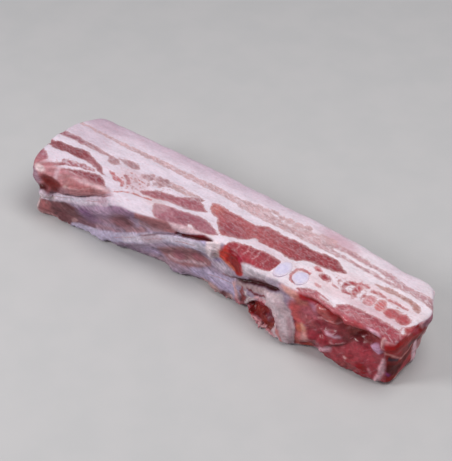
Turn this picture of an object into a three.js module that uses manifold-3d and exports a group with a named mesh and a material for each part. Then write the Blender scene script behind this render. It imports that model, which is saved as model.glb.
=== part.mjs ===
// A bone-in strip of raw pork belly, lying on one cut face. Millimetres, +Z up.
// +X runs along the strip, -Y is the bone side with its rib ridges, +Y is the rind side.
// The upper cut face shows the layers, and two rib cartilages run through the meat from cut to cut.
import * as THREE from "three";
import { mergeVertices } from "three/addons/utils/BufferGeometryUtils.js";
import Module from "manifold-3d";

// Driving dimensions.
const LENGTH = 360;
const HEIGHT = 50;
const HALF_THICKNESS = 39; // nominal, from the rind to the bone side
const EDGE_RADIUS = 3;
const RIB_SLOPE = 0.38; // the rib ridges climb this much for each unit along the strip
const RIB_FADE = 12; // half the length over which a ridge dies away at its end
const FIT_GAP = 0.4; // between a cartilage and the meat round it

// Grid of the slab: steps along, across and up.
const STEPS_ALONG = 72;
const STEPS_ACROSS = 11;
const STEPS_UP = 13;
const EDGE_CROWDING = 0.45; // 0 spaces the grid evenly, 1 crowds it at the edges

const MEAT_COLOUR = 0xc98f8d;
const CARTILAGE_COLOUR = 0xe6dfea;

const { clamp, lerp, smoothstep } = THREE.MathUtils;
const bell = (distance, width) => Math.exp(-((distance / width) ** 2));

// How far a point of a face lies from the segment between two other points of it.
function fromSegment(x, z, start, end) {
  const [dx, dz] = [end[0] - start[0], end[1] - start[1]];
  const share = clamp(((x - start[0]) * dx + (z - start[1]) * dz) / (dx * dx + dz * dz), 0, 1);
  return Math.hypot(x - start[0] - share * dx, z - start[1] - share * dz);
}

// A groove or ridge along a segment: height out of the face, positive outwards.
const crease = (x, z, start, end, width, height) => height * bell(fromSegment(x, z, start, end), width);

// The same, parallel to the ribs through one point, and faded out beyond its two ends.
function alongRib(x, z, through, [first, last], width, height) {
  const line = through[1] + RIB_SLOPE * (x - through[0]);
  const starts = smoothstep(x, first - RIB_FADE, first + RIB_FADE);
  const stops = smoothstep(x, last - RIB_FADE, last + RIB_FADE);
  return height * starts * (1 - stops) * bell(z - line, width);
}

// Relief of the bone side at (x, z), positive outwards.
function boneRelief(x, z) {
  const ribs =
    alongRib(x, z, [-130, 52], [-190, -95], 10, 4) + // muscle roll under the upper edge
    alongRib(x, z, [-130, 38], [-195, -85], 6.5, -4.5) + // fold below that roll
    alongRib(x, z, [-130, 27], [-190, -50], 7.5, 4) + // first rib
    alongRib(x, z, [-60, 37], [-120, -20], 9, -2.5) + // hollow between the ribs
    alongRib(x, z, [-25, 43], [-60, 8], 6.5, -4) + // fold under the loose flap
    alongRib(x, z, [-40, 27], [-115, 10], 7.5, 4.5) + // second rib
    alongRib(x, z, [-10, 26], [-50, 20], 9, -2.5) + // next hollow
    alongRib(x, z, [20, 20], [-10, 30], 8, 2.5); // third rib
  const pocket =
    -8 * bell(Math.hypot((x - 58) / 14, (z - 13) / 11) ** 1.6, 1) +
    crease(x, z, [44, 37], [70, 43], 6, -5) + // slit above the pocket
    crease(x, z, [74, 34], [86, 0], 7, 2.5); // fat band beside the pocket
  const lean =
    crease(x, z, [100, 40], [158, 38], 8, -4.5) + // hollow under the upper lip
    crease(x, z, [96, 16], [114, 8], 9, 1.5) +
    crease(x, z, [140, 18], [156, 12], 11, 1.5);
  return ribs + pocket + lean + 0.6 * Math.sin(x / 9 + z / 7) * Math.sin(z / 9 - x / 23);
}

// Outlines of the slab seen from above: the bone side and the rind side, at height z.
function boneSide(x, z) {
  const top = -33.5 + 9 * bell(x - 7, 28) - 2.5 * smoothstep(-x, 120, 180);
  const foot =
    -40.5 + 16 * smoothstep(x, -178, 12) - 19 * smoothstep(x, 26, 62) + 12 * smoothstep(x, 96, 182);
  return lerp(foot, top, z / HEIGHT);
}

function rindSide(x, z) {
  const top = 44.8 - 3.2 * smoothstep(x, -60, 80) - 11 * smoothstep(x, 60, 190) + 0.8 * bell(x - 30, 50) * Math.sin((x + 3) / 7);
  const inset = 8 + 10 * smoothstep(x, 60, 175);
  const depth = 1 - z / HEIGHT;
  return top - inset * depth ** 1.3 + 2 * Math.sin(Math.PI * depth);
}

// The upper cut face: flat but for slow waves, and falling off towards the bone side.
function topFace(x, y) {
  const fall =
    3 +
    5 * (1 - smoothstep(x, -105, -88)) +
    7 * smoothstep(x, 8, 18) * (1 - smoothstep(x, 42, 54));
  const shoulder = smoothstep(-y, 19, 38);
  return HEIGHT + 0.6 * Math.sin(x / 31) * Math.cos(y / 19) - fall * shoulder;
}

// How far each end stops short of the full length, across the width (-1 to 1) and at height z.
function farEnd(across, y, z) {
  const corner = across > 0 ? 14 * across ** 3 : 8 * Math.abs(across) ** 1.5;
  const notch = 4 * bell(z - 60 - y, 7) + 5 * bell(z - 25, 7) * smoothstep(-y, 20, 38);
  return corner + notch + 2 * (1 - z / HEIGHT);
}

function nearEnd(across, y, z) {
  const corner = across > 0 ? 15 * across ** 4 : 5 * across ** 6;
  return corner + 7 * (1 - z / HEIGHT) + 2 * bell(z - 27, 8) * smoothstep(-y, -10, 20);
}

// The point of the slab that a point on the surface of the cube from -1 to 1 stands for.
function slabPoint(cube) {
  const half = new THREE.Vector3(LENGTH / 2, HALF_THICKNESS, HEIGHT / 2);
  const flat = cube.clone().multiply(half);
  const inner = half.clone().subScalar(EDGE_RADIUS);
  const core = flat.clone().clamp(inner.clone().negate(), inner);
  const rounded = flat.sub(core).setLength(EDGE_RADIUS).add(core);

  const across = rounded.y / HALF_THICKNESS;
  const z = rounded.z + HEIGHT / 2;
  const skin = smoothstep(-across, 0.35, 1);
  const y =
    lerp(boneSide(rounded.x, z), rindSide(rounded.x, z), (across + 1) / 2) -
    skin * boneRelief(rounded.x, z);
  const endward = Math.abs(rounded.x) / (LENGTH / 2);
  const short = smoothstep(endward, 0.84, 1) * (rounded.x > 0 ? nearEnd : farEnd)(across, y, z);
  const x = rounded.x - Math.sign(rounded.x) * short;
  return new THREE.Vector3(x, y, (z / HEIGHT) * topFace(x, y));
}

const crowded = (t) => lerp(t, Math.sin((t * Math.PI) / 2), EDGE_CROWDING);

function slabGeometry() {
  const cube = new THREE.BoxGeometry(2, 2, 2, STEPS_ALONG, STEPS_ACROSS, STEPS_UP);
  const position = cube.attributes.position;
  const point = new THREE.Vector3();
  for (let i = 0; i < position.count; i += 1) {
    point.fromBufferAttribute(position, i);
    point.set(point.x, crowded(point.y), crowded(point.z));
    position.setXYZ(i, ...slabPoint(point).toArray());
  }
  return cube;
}

// A rib cartilage: an oval rod that leans along the strip, waisted halfway down. grow widens it.
function cartilageGeometry({ top, foot, radii }, grow, low, high) {
  const sides = 16;
  const rings = 5;
  const rod = new THREE.CylinderGeometry(1, 1, 1, sides, rings).rotateX(Math.PI / 2);
  const position = rod.attributes.position;
  for (let i = 0; i < position.count; i += 1) {
    const share = position.getZ(i) + 0.5;
    const z = lerp(low, high, share);
    const up = z / HEIGHT;
    const angle = Math.atan2(position.getY(i), position.getX(i));
    const size = Math.hypot(position.getX(i), position.getY(i)) * (1 + 0.07 * Math.sin(2 * angle + top[0]));
    const waist = 1 - 0.12 * Math.sin(Math.PI * up);
    const x = lerp(foot[0], top[0], up) + Math.cos(angle) * size * (radii[0] * waist + grow);
    const y = lerp(foot[1], top[1], up) + Math.sin(angle) * size * (radii[1] * waist + grow);
    position.setXYZ(i, x, y, z);
  }
  return rod;
}

const CARTILAGES = {
  rib_cartilage_1: { top: [67.5, -19], foot: [80, -25], radii: [5.6, 8.4] },
  rib_cartilage_2: { top: [83.5, -19], foot: [97, -24], radii: [5.4, 7.4] },
};
const CARTILAGE_FOOT = 0.6; // its lower end stays this far above the face that the slab rests on
const CARTILAGE_TOP = HEIGHT + 0.3;

const wasm = await Module();
wasm.setup();

function solid(geometry) {
  const bare = new THREE.BufferGeometry()
    .setAttribute("position", geometry.getAttribute("position"))
    .setIndex(geometry.index);
  const merged = mergeVertices(bare, 1e-4);
  return new wasm.Manifold(
    new wasm.Mesh({
      numProp: 3,
      vertProperties: merged.attributes.position.array,
      triVerts: new Uint32Array(merged.index.array),
    }),
  );
}

function geometryOf(manifold) {
  const made = manifold.getMesh();
  return new THREE.BufferGeometry()
    .setAttribute("position", new THREE.BufferAttribute(made.vertProperties, 3))
    .setIndex(new THREE.BufferAttribute(made.triVerts, 1));
}

function part(name, geometry, color, roughness) {
  const material = new THREE.MeshStandardMaterial({ color, roughness, metalness: 0 });
  const mesh = new THREE.Mesh(geometry, material);
  mesh.name = name;
  return mesh;
}

const strip = new THREE.Group();
let meat = solid(slabGeometry());
for (const [name, rib] of Object.entries(CARTILAGES)) {
  meat = meat.subtract(solid(cartilageGeometry(rib, FIT_GAP, -5, HEIGHT + 5)));
  const rod = cartilageGeometry(rib, 0, CARTILAGE_FOOT, CARTILAGE_TOP);
  strip.add(part(name, rod, CARTILAGE_COLOUR, 0.35));
}
strip.add(part("belly_slab", geometryOf(meat), MEAT_COLOUR, 0.45));

// The origin is the middle of the box round the strip, at the height of the face that it rests on.
const box = new THREE.Box3().setFromObject(strip);
const middle = box.getCenter(new THREE.Vector3());
strip.position.set(-middle.x, -middle.y, -box.min.z);

export default strip;
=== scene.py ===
"""Looks of a raw bone-in pork belly strip: fat and lean layers, bone side membrane, rind and cartilages."""

import math

import bmesh
import bpy
import numpy as np
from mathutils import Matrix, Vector


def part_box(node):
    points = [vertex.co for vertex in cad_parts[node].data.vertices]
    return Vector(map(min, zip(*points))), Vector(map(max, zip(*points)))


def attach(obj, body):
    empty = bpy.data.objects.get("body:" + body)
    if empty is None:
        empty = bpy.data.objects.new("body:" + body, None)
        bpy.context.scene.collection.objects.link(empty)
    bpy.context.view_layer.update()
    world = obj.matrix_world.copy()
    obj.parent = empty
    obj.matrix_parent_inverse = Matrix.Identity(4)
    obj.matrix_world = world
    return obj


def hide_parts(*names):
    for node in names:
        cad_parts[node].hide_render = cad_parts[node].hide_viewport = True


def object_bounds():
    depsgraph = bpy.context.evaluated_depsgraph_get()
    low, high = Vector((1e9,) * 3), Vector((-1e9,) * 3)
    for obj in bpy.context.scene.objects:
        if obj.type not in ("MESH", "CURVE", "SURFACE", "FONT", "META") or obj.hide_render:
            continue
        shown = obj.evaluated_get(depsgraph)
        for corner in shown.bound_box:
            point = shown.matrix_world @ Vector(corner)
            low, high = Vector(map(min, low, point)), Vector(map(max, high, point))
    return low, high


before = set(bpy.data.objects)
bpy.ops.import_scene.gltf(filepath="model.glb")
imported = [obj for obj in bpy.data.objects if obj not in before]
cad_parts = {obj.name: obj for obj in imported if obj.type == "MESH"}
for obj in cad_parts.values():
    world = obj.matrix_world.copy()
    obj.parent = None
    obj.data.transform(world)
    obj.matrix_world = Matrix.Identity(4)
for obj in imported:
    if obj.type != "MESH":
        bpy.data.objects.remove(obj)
cad_low, cad_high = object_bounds()

MM = 0.001
SLAB_HIGH = np.array(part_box("belly_slab")[1]) / MM
TOP = SLAB_HIGH[2] - 0.6  # height of the upper cut face, in mm

# The layout: every mark on the slab has its place in millimetres on one of three planes, read along one
# slanting line, so that a mark close to an edge lands on whatever surface curves away there.
LAYOUT_ZERO = 2.5  # where the layout's zero lies along the strip, from the middle
SLANT = np.array([0.452, -0.600, 0.660])
BONE_PLANE = -34.0
END_PLANE = 172.0

VOXEL = 1.05  # mesh step of the slab, in mm
SMOOTHING_STEPS = 30

# Gloss washes the colours of the upright faces out by about this much, so their pigments are deeper.
SIDE_VEIL = 0.02
SIDE_GAIN = 0.86

RIB_SLOPE = 0.38  # the folds along the ribs climb this much for each unit along the strip
RIB_FADE = 10  # half the length over which such a fold dies away at its end
NEAR_CORNER = 168  # where along the strip the bone side ends at its foot, in mm
CORNER_LEAN = 0.1  # how much sooner it ends for each mm of height


# ---------------------------------------------------------------- shapes on a plane, as depths in mm

def smooth(low, high, value):
    t = np.clip((value - low) / (high - low), 0, 1)
    return t * t * (3 - 2 * t)


def curve(x, keys):
    """A curve through (x, value) keys that never overshoots them."""
    key_x, key_y = np.array(keys, float).T
    slope = np.diff(key_y) / np.diff(key_x)
    tangent = np.concatenate(([slope[0]], np.zeros(len(slope) - 1), [slope[-1]]))
    same_way = slope[1:] * slope[:-1] > 0
    mean = 2 * slope[1:] * slope[:-1] / np.where(same_way, slope[1:] + slope[:-1], 1)
    tangent[1:-1] = np.where(same_way, mean, 0)
    i = np.clip(np.searchsorted(key_x, x) - 1, 0, len(slope) - 1)
    width = key_x[i + 1] - key_x[i]
    t = np.clip((x - key_x[i]) / width, 0, 1)
    start, end = (1 + 2 * t) * (1 - t) ** 2, t * t * (3 - 2 * t)
    bend = t * (1 - t) ** 2 * tangent[i] - t * t * (1 - t) * tangent[i + 1]
    return start * key_y[i] + end * key_y[i + 1] + bend * width


def band(x, y, low, high, ends=2.0):
    """Depth inside a layer between a lower and an upper edge, each through (x, y) keys."""
    floor, ceiling = curve(x, low), curve(x, high)
    floor_slope = (curve(x + 1, low) - curve(x - 1, low)) / 2
    ceiling_slope = (curve(x + 1, high) - curve(x - 1, high)) / 2
    inside = np.minimum((y - floor) / np.hypot(1, floor_slope), (ceiling - y) / np.hypot(1, ceiling_slope))
    first, last = max(low[0][0], high[0][0]), min(low[-1][0], high[-1][0])
    return np.minimum(inside, ends * np.minimum(x - first, last - x))


def blob(x, y, centre, radii, turn=0.0):
    """Depth inside an ellipse turned by some degrees."""
    c, s = math.cos(math.radians(turn)), math.sin(math.radians(turn))
    across = ((x - centre[0]) * c + (y - centre[1]) * s) / radii[0]
    up = ((y - centre[1]) * c - (x - centre[0]) * s) / radii[1]
    return (1 - np.hypot(across, up)) * min(radii)


def line(x, y, points, width):
    """Depth inside a line of that full width."""
    nearest = np.full(np.shape(x), 1e9)
    for (ax, ay), (bx, by) in zip(points[:-1], points[1:]):
        dx, dy = bx - ax, by - ay
        t = np.clip(((x - ax) * dx + (y - ay) * dy) / (dx * dx + dy * dy), 0, 1)
        nearest = np.minimum(nearest, np.hypot(x - ax - t * dx, y - ay - t * dy))
    return width / 2 - nearest


def lumps(points, size, seed):
    """Smooth seeded noise from -1 to 1 at points in mm, with lumps of that size; size can differ by axis."""
    q = points / np.asarray(size, float) + 17.3 * seed
    cell = np.floor(q).astype(np.int64)
    f = q - cell
    f = f * f * (3 - 2 * f)
    total = np.zeros(len(q))
    for corner in np.ndindex(2, 2, 2):
        c = cell + corner
        h = (c[:, 0] * 73856093) ^ (c[:, 1] * 19349663) ^ (c[:, 2] * 83492791) ^ (seed * 2654435761)
        h = (h ^ (h >> 13)) * 1274126177 & 0x7FFFFFFF
        weight = np.prod(np.where(corner, f, 1 - f), axis=1)
        total += weight * (h / 0x3FFFFFFF - 1)
    return total


# ---------------------------------------------------------------- colours

def rgb(red, green, blue):
    """A colour given as 0 to 255 steps of a screen, as linear light."""
    c = np.array([red, green, blue]) / 255
    return np.where(c <= 0.04045, c / 12.92, ((c + 0.055) / 1.055) ** 2.4)


# Painted light on the fat of the cut faces: it grows brighter towards the right end. Along the rind at the
# left, painted shade lies over the fat's own lilac tint.
FAT = rgb(221, 206, 219)
FAT_TINT_AND_SHADE_BY_RIND = rgb(202, 180, 195)
FAT_LIT_RIGHT = rgb(228, 214, 223)
RIND = rgb(220, 194, 190)
RIND_WARM = rgb(206, 172, 164)
CARTILAGE = rgb(224, 216, 238)
CARTILAGE_GREY = rgb(198, 188, 220)
CARTILAGE_RIM = rgb(222, 204, 218)

PALE_STREAK = rgb(200, 163, 168)
PINK_STREAK = rgb(185, 140, 147)
TAN_STREAK = rgb(174, 131, 137)
TAN_DEEP = rgb(158, 102, 112)
TAN_PALE = rgb(196, 160, 163)
TAN_WARM = rgb(174, 125, 120)
WINE = rgb(143, 76, 83)
LENS = rgb(168, 104, 113)
MAUVE = rgb(160, 98, 111)
MAIN_LEAN = rgb(170, 89, 94)
MAIN_DEEP = rgb(147, 56, 64)
BRIGHT_LEAN = rgb(156, 58, 68)
END_LEAN = rgb(178, 70, 74)
SCRAP = rgb(180, 84, 90)
SCRAP_LIGHT = rgb(198, 112, 114)
FLAP_EDGE = rgb(190, 96, 92)
PALE_SCRAP = rgb(204, 138, 144)
ROLL = rgb(172, 96, 105)
LOBE_PALE = rgb(164, 120, 128)

MEMBRANE = rgb(150, 130, 148)
MEMBRANE_PALE = rgb(190, 172, 186)
MEMBRANE_LILAC = rgb(170, 158, 180)
PANEL_BROWN = rgb(112, 76, 80)
DARK_BLOOD = rgb(110, 54, 54)
# painted shade for the inside of a slit
SLIT_SHADOW = rgb(66, 30, 32)
VIVID_RED = rgb(166, 56, 56)
SIDE_LEAN = rgb(148, 66, 74)


# ---------------------------------------------------------------- the layers on the cut faces

def streaks(x, y):
    """Each lean streak as (colour, how clearly white walls part its bundles, depth inside it)."""
    yield PALE_STREAK, 0.5, band(
        x, y,
        [(-184, 26.6), (-165, 25.6), (-130, 24), (-80, 23.2), (-30, 22), (-12, 21.5), (0, 18.6), (20, 17.6),
         (40, 18), (82, 17)],
        [(-184, 29), (-150, 27.4), (-130, 28), (-80, 28.8), (-30, 28.8), (-12, 28), (0, 30), (10, 29.4),
         (18, 28), (30, 26.8), (42, 27), (52, 28.6), (60, 29.6), (82, 30)])
    for centre, radii, turn in (((8.4, 29.6), (5, 1.8), -8), ((15, 28.6), (4.4, 2.8), 6),
                                ((22.6, 30.8), (4, 1.6), -10),
                                ((30, 29), (4.1, 2.5), -4), ((37.6, 29.2), (3.5, 3.0), 0),
                                ((45.4, 29.8), (4.0, 3.0), 4), ((53.8, 31), (4.0, 2.4), 4),
                                ((70.4, 30.6), (4, 1.6), -6), ((77.6, 31), (4, 1.7), 0)):
        yield PALE_STREAK, 0.15, blob(x, y, centre, radii, turn)
    yield PINK_STREAK, 0.7, band(
        x, y,
        [(64, 25), (90, 24.4), (105, 23.4), (120, 22.2), (135, 19.4), (150, 18), (165, 15.6), (184, 10)],
        [(64, 29.6), (90, 29.3), (105, 28.2), (120, 26.2), (135, 25), (150, 21.8), (165, 21), (184, 17)])
    yield PINK_STREAK, 0.7, band(
        x, y,
        [(64, 17.2), (105, 17.4), (115, 15.8), (130, 15), (140, 14.6), (152, 15), (165, 14), (184, 8)],
        [(64, 24.4), (90, 21.4), (105, 20.2), (130, 18.6), (140, 19), (152, 19.5), (165, 19), (184, 15)])

    yield TAN_DEEP + (TAN_STREAK - TAN_DEEP) * smooth(-165, -145, x)[:, None], 0.3, band(
        x, y,
        [(-186, 3.4), (-176, 4.6), (-168, 5.2), (-150, 5.6), (-135, 5.2), (-128, 6.8), (-122, 7.6)],
        [(-186, 10), (-176, 11.3), (-150, 11), (-135, 9.6), (-128, 8.6), (-122, 8.4)])
    yield TAN_STREAK, 0.3, band(
        x, y,
        [(-129, 6.5), (-126, 2.2), (-121, 0.4), (-117, 0.6), (-114, 3.6)],
        [(-129, 7.6), (-126, 9.2), (-121, 9), (-117, 7.2), (-114, 4.2)])
    yield TAN_STREAK, 0.3, band(
        x, y,
        [(-122, 8.8), (-116, 7.6), (-110, 6.2), (-104, 6), (-99, 7), (-97, 8.6)],
        [(-122, 9.8), (-116, 11.2), (-110, 12.8), (-104, 13), (-99, 11), (-97, 8.8)])
    for centre, radii, turn in (((-88, 4.2), (3.6, 2.6), -10), ((-83.5, 5.6), (3.2, 4.6), 20),
                                ((-76, 7.6), (4.2, 3.6), 0), ((-70.5, 8.6), (4.4, 3.4), 0),
                                ((-71, 3.6), (4.2, 2.4), 10), ((-66, 7.8), (4.2, 3.6), 0),
                                ((-80, -2), (1.3, 3), 25), ((-75, 2.2), (2.6, 2.4), 0)):
        yield TAN_STREAK, 0.4, blob(x, y, centre, radii, turn)
    yield TAN_PALE, 0.6, band(
        x, y,
        [(-68, 6), (-60, 5), (-52, 4.8), (-44, 6), (-36, 9.4)],
        [(-68, 11.4), (-60, 11.6), (-52, 11.2), (-44, 10.6), (-36, 9.8)])

    yield WINE, 0.15, band(
        x, y,
        [(-182, -11), (-172, -12.4), (-156, -10.2), (-145, -9.8), (-135, -10.6), (-127, -12.4),
         (-112, -15.4)],
        [(-182, -5), (-172, -2.4), (-156, 0.2), (-150, 1.2), (-140, -1.8), (-126, -6.8), (-119, -12),
         (-112, -15)])
    yield SCRAP, 0.5, band(
        x, y,
        [(-118, -7.4), (-112, -10.6), (-106, -14.2), (-101, -14), (-97, -12.6)],
        [(-118, -6.4), (-112, -7.4), (-106, -9.4), (-101, -10.4), (-97, -12)])
    yield LENS, 0.3, line(x, y, [(-101, -4.6), (-97, -7), (-93, -11)], 3.4)
    yield SCRAP, 0.3, line(x, y, [(-98.5, -12.4), (-95.5, -16)], 2.6)
    yield TAN_STREAK, 0.3, line(x, y, [(-93, -2.4), (-89, -5.6)], 1.8)
    yield TAN_STREAK, 0.3, line(x, y, [(-88, -11.4), (-87, -14)], 1.8)
    yield FLAP_EDGE, 0.0, line(x, y, [(-95, -26), (-90, -21), (-82, -18.6), (-74, -17.4), (-66, -16)], 1.5)
    yield MAUVE, 0.2, band(
        x, y,
        [(-183, -30), (-178, -33), (-173, -34.5), (-168, -28)],
        [(-183, -16), (-178, -18.4), (-173, -20.5), (-168, -26)])
    yield WINE, 0.2, line(x, y, [(-169, -36), (-165, -33), (-158, -28), (-152, -23)], 4.2)
    yield LENS, 0.6, band(
        x, y,
        [(-157, -20), (-153, -24.8), (-148, -23), (-142, -20.6), (-134, -18.4), (-128, -17.6), (-125, -16)],
        [(-157, -18), (-153, -16.6), (-148, -15.4), (-142, -14.2), (-134, -13.2), (-128, -13.2),
         (-125, -14.6)])
    yield WINE, 0.2, band(
        x, y,
        [(-150, -31), (-140, -28), (-125, -28), (-112, -28), (-104, -26)],
        [(-150, -28), (-140, -22.4), (-130, -18.2), (-120, -16.4), (-112, -18.6), (-107, -23), (-104, -26)])
    yield LOBE_PALE, 0.6, band(
        x, y,
        [(-168, -46), (-140, -46), (-120, -44), (-108, -38), (-103, -31)],
        [(-168, -39), (-160, -33.6), (-150, -28), (-130, -27), (-110, -26.5), (-103, -29)])

    yield LENS, 0.2, band(
        x, y,
        [(-79.5, -12.6), (-76, -14), (-70, -14), (-60, -11.6), (-50, -9), (-32, -6.6), (-25, -4),
         (-20, -1.4)],
        [(-79.5, -11.8), (-70, -4.6), (-62, -2.2), (-52, -0.4), (-44, 2.6), (-35, 6), (-29, 4.4), (-24, 1),
         (-20, -1)])
    yield TAN_STREAK, 0.5, band(
        x, y,
        [(-46, 0), (-40, 3), (-34, 3.4), (-31, 7)],
        [(-46, 3), (-40, 8.4), (-35, 10.2), (-31, 9.4)])
    yield MAUVE, 0.15, band(
        x, y,
        [(-61, -19), (-57, -26), (-50, -30.5), (-38, -31), (-28, -28.4), (-12, -23.6), (-4, -21.6),
         (3, -17.6)],
        [(-61, -17), (-48, -13), (-32, -10.2), (-24, -8.6), (-18, -8.8), (-10, -10.6), (-4, -13), (3, -17)])

    yield MAIN_LEAN + (MAIN_DEEP - MAIN_LEAN) * smooth(25, 75, x)[:, None], 0.16, band(
        x, y,
        [(-24.5, 9), (-21, 3.4), (-16, -0.2), (-11, -1.4), (-7, -6.6), (-3, -10.2), (3, -16.8), (8, -14.6),
         (13, -12.6), (22, -10), (28, -3.8), (33, -4.8), (50, -4.8), (62, -6.4), (68, -5.4), (71, -2),
         (75, -0.4), (85, 0.6), (95, 2), (107, 5.2)],
        [(-24.5, 10), (-20, 12.4), (-4, 11.4), (4, 11), (12, 9.6), (20, 10.6), (26, 13.6), (36, 14),
         (46, 13.2), (55, 14.6), (66, 12.6), (74, 13), (84, 14.8), (92, 14.6), (97, 11.4), (107, 5.6)])
    yield BRIGHT_LEAN, 0.1, band(
        x, y,
        [(14, -30), (17, -43), (28, -44), (44, -44), (46, -31), (52, -29.6), (58, -26.4), (59.6, -20)],
        [(14, -18.6), (17, -16), (22, -14.4), (30, -12.4), (44, -11.2), (58, -12.6), (59.6, -15)])
    yield SCRAP, 0.2, line(x, y, [(84, -11), (77, -10.4), (73.4, -13), (73.4, -19), (76, -24.6),
                                  (82, -26.4)], 2.6)
    yield END_LEAN, 0.1, band(
        x, y,
        [(168.6, -19), (172, -27), (175, -33), (180, -38), (192, -40)],
        [(168.6, -18), (172, -15.4), (175, -11), (177.6, -8), (192, -6)])

    for colour, centre, radii, turn in (
            (SCRAP, (86, -3.2), (4.6, 2.4), -25), (BRIGHT_LEAN, (95.5, -7.2), (5.6, 3.2), -8),
            (PALE_SCRAP, (96, -17.8), (3.8, 1.4), -18), (PALE_SCRAP, (106, -11), (3, 1.2), 0),
            (PALE_SCRAP, (106.5, -5), (1.2, 3), 15), (SCRAP, (122, -5), (3.2, 9.4), 8),
            (SCRAP, (129.4, -7.2), (1.5, 4.4), 8), (PALE_SCRAP, (135.5, -8), (4.6, 5.6), 0),
            (SCRAP_LIGHT, (145, -8), (4.2, 6.2), 10)):
        yield colour, 0.4, blob(x, y, centre, radii, turn)
    yield SCRAP, 0.1, np.maximum(blob(x, y, (155.6, -10), (6.4, 5.2)),
                                 blob(x, y, (165, -10.6), (6.6, 5.6), -10))
    yield SCRAP, 0.5, np.minimum(blob(x, y, (116.6, -5.6), (7, 7.8)),
                                 -blob(x, y, (117.6, -5.8), (3.4, 3.6)))
    yield SCRAP, 0.4, line(x, y, [(119, 1), (124, 3.6), (127, 3)], 3.4)
    yield SCRAP, 0.4, line(x, y, [(132, 0.6), (137, 1.6), (142, 1)], 3.2)
    yield SCRAP, 0.4, line(x, y, [(147, 0.2), (154, 0.8), (163, 0)], 2.6)
    yield TAN_WARM, 0.3, band(
        x, y,
        [(129, 8.4), (135, 7), (142, 6.8), (147.4, 7.6)],
        [(129, 9), (135, 10.4), (142, 12), (147.4, 11.6)])
    yield TAN_WARM, 0.3, band(
        x, y,
        [(148, 7.4), (156, 6.6), (163, 5), (168, 1.6), (171.5, 1.4)],
        [(148, 11), (156, 11.2), (163, 10.8), (168, 9), (171.5, 5)])
    yield ROLL + (rgb(164, 76, 88) - ROLL) * smooth(136, 158, x)[:, None], 0.25, band(
        x, y,
        [(85, -30), (92, -33), (100, -33.5), (110, -35), (120, -38), (184, -40)],
        [(85, -29), (90, -25.2), (98, -22.8), (105, -24.2), (117, -27.4), (122, -22.4), (128, -20.2),
         (140, -19.4), (155, -19.8), (168, -21.4), (184, -24)])


SEAMS = (  # white lines through the lean: points, full width
    ([(14, 25.4), (20, 28), (26, 27.4), (32, 25.6), (40, 25.8), (47, 26.8), (54, 28.4), (64, 28.8),
      (74, 28)], 0.3),
    ([(-122, -5), (-114, -10.5), (-106, -16), (-95, -22)], 1.6),
    ([(-168, -38), (-158, -31.5), (-147, -26), (-137, -20.6), (-125, -16.6)], 1.6),
    ([(-28.5, 10), (-21, 1.2), (-12, -3.4), (-5, -10.4), (1, -15.4), (8, -18.4)], 1.8),
    ([(104, -26.4), (112, -28)], 1.0),
    ([(112, -27), (118, -28)], 2.0),
    ([(-22, -22), (-16, -26)], 3.4),
    ([(170.6, -18.6), (172.6, -22)], 2.6),
)

FINE_SEAMS = (  # thin pink partings inside the lean: points, strength
    ([(21, -14), (23, -18), (24, -24), (22.6, -30)], 0.7),
    ([(29, -12), (31.4, -18), (30.4, -23), (32, -30)], 0.9),
    ([(34, -11.6), (36.4, -18)], 0.7), ([(38.4, -11), (41, -18), (40.4, -24), (43, -30)], 0.9),
    ([(47.6, -11.6), (49.6, -18), (49, -23)], 0.5), ([(31.4, -18), (40.4, -20)], 0.5),
    ([(-50, -14), (-38, -22), (-26, -26)], 0.5), ([(-20, 8), (0, 2), (16, -6)], 0.35),
    ([(20, 8), (44, 4), (66, 2)], 0.35), ([(60, 10), (80, 7), (94, 8)], 0.35),
    ([(124, -26), (140, -27), (160, -28)], 0.5), ([(90, -28), (104, -30), (118, -34)], 0.5),
    ([(-170, -6), (-150, -4), (-132, -9)], 0.35),
)

FINE_SEAM = rgb(208, 152, 158)
FINE_SEAM_WIDTH = 0.7  # in mm, and also how soft its edges are
LEAN_TINT_SOFT = 3.5  # how soft the edges of the tints are, in mm
FAT_TINT_SOFT = 4

LEAN_TINTS = (  # paler and deeper parts of the lean: centre, radii, turn, colour, strength
    ((51, -20), (6, 7), 0, (146, 60, 68), 0.5), ((-120, -34), (9, 5), 0, (150, 104, 112), 0.6),
    ((70, 5), (9, 5), 0, (152, 68, 76), 0.4), ((160, -27), (8, 5), 0, (160, 78, 88), 0.4),
    ((-18, 7), (7, 5), 0, (196, 120, 112), 0.6), ((-56, -19), (8, 7), 0, (194, 150, 158), 0.7),
    ((-150, -5), (14, 5), 0, (132, 58, 66), 0.7), ((-134, -7), (8, 5), -30, (160, 102, 110), 0.8),
    ((-40, 0), (12, 5), 15, (158, 84, 96), 0.7), ((-28, -15), (14, 6), 10, (150, 80, 94), 0.7),
    ((8, -6), (12, 7), -20, (146, 66, 78), 0.7), ((30, 8), (12, 6), 0, (160, 80, 86), 0.6),
    ((112, -6), (8, 8), 0, (158, 60, 70), 0.8), ((-122, -22), (16, 5), -5, (134, 62, 72), 0.7),
    ((-120, -33), (14, 5), 10, (146, 108, 116), 0.7), ((160, -26), (10, 5), 0, (158, 64, 76), 0.7),
)

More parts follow.
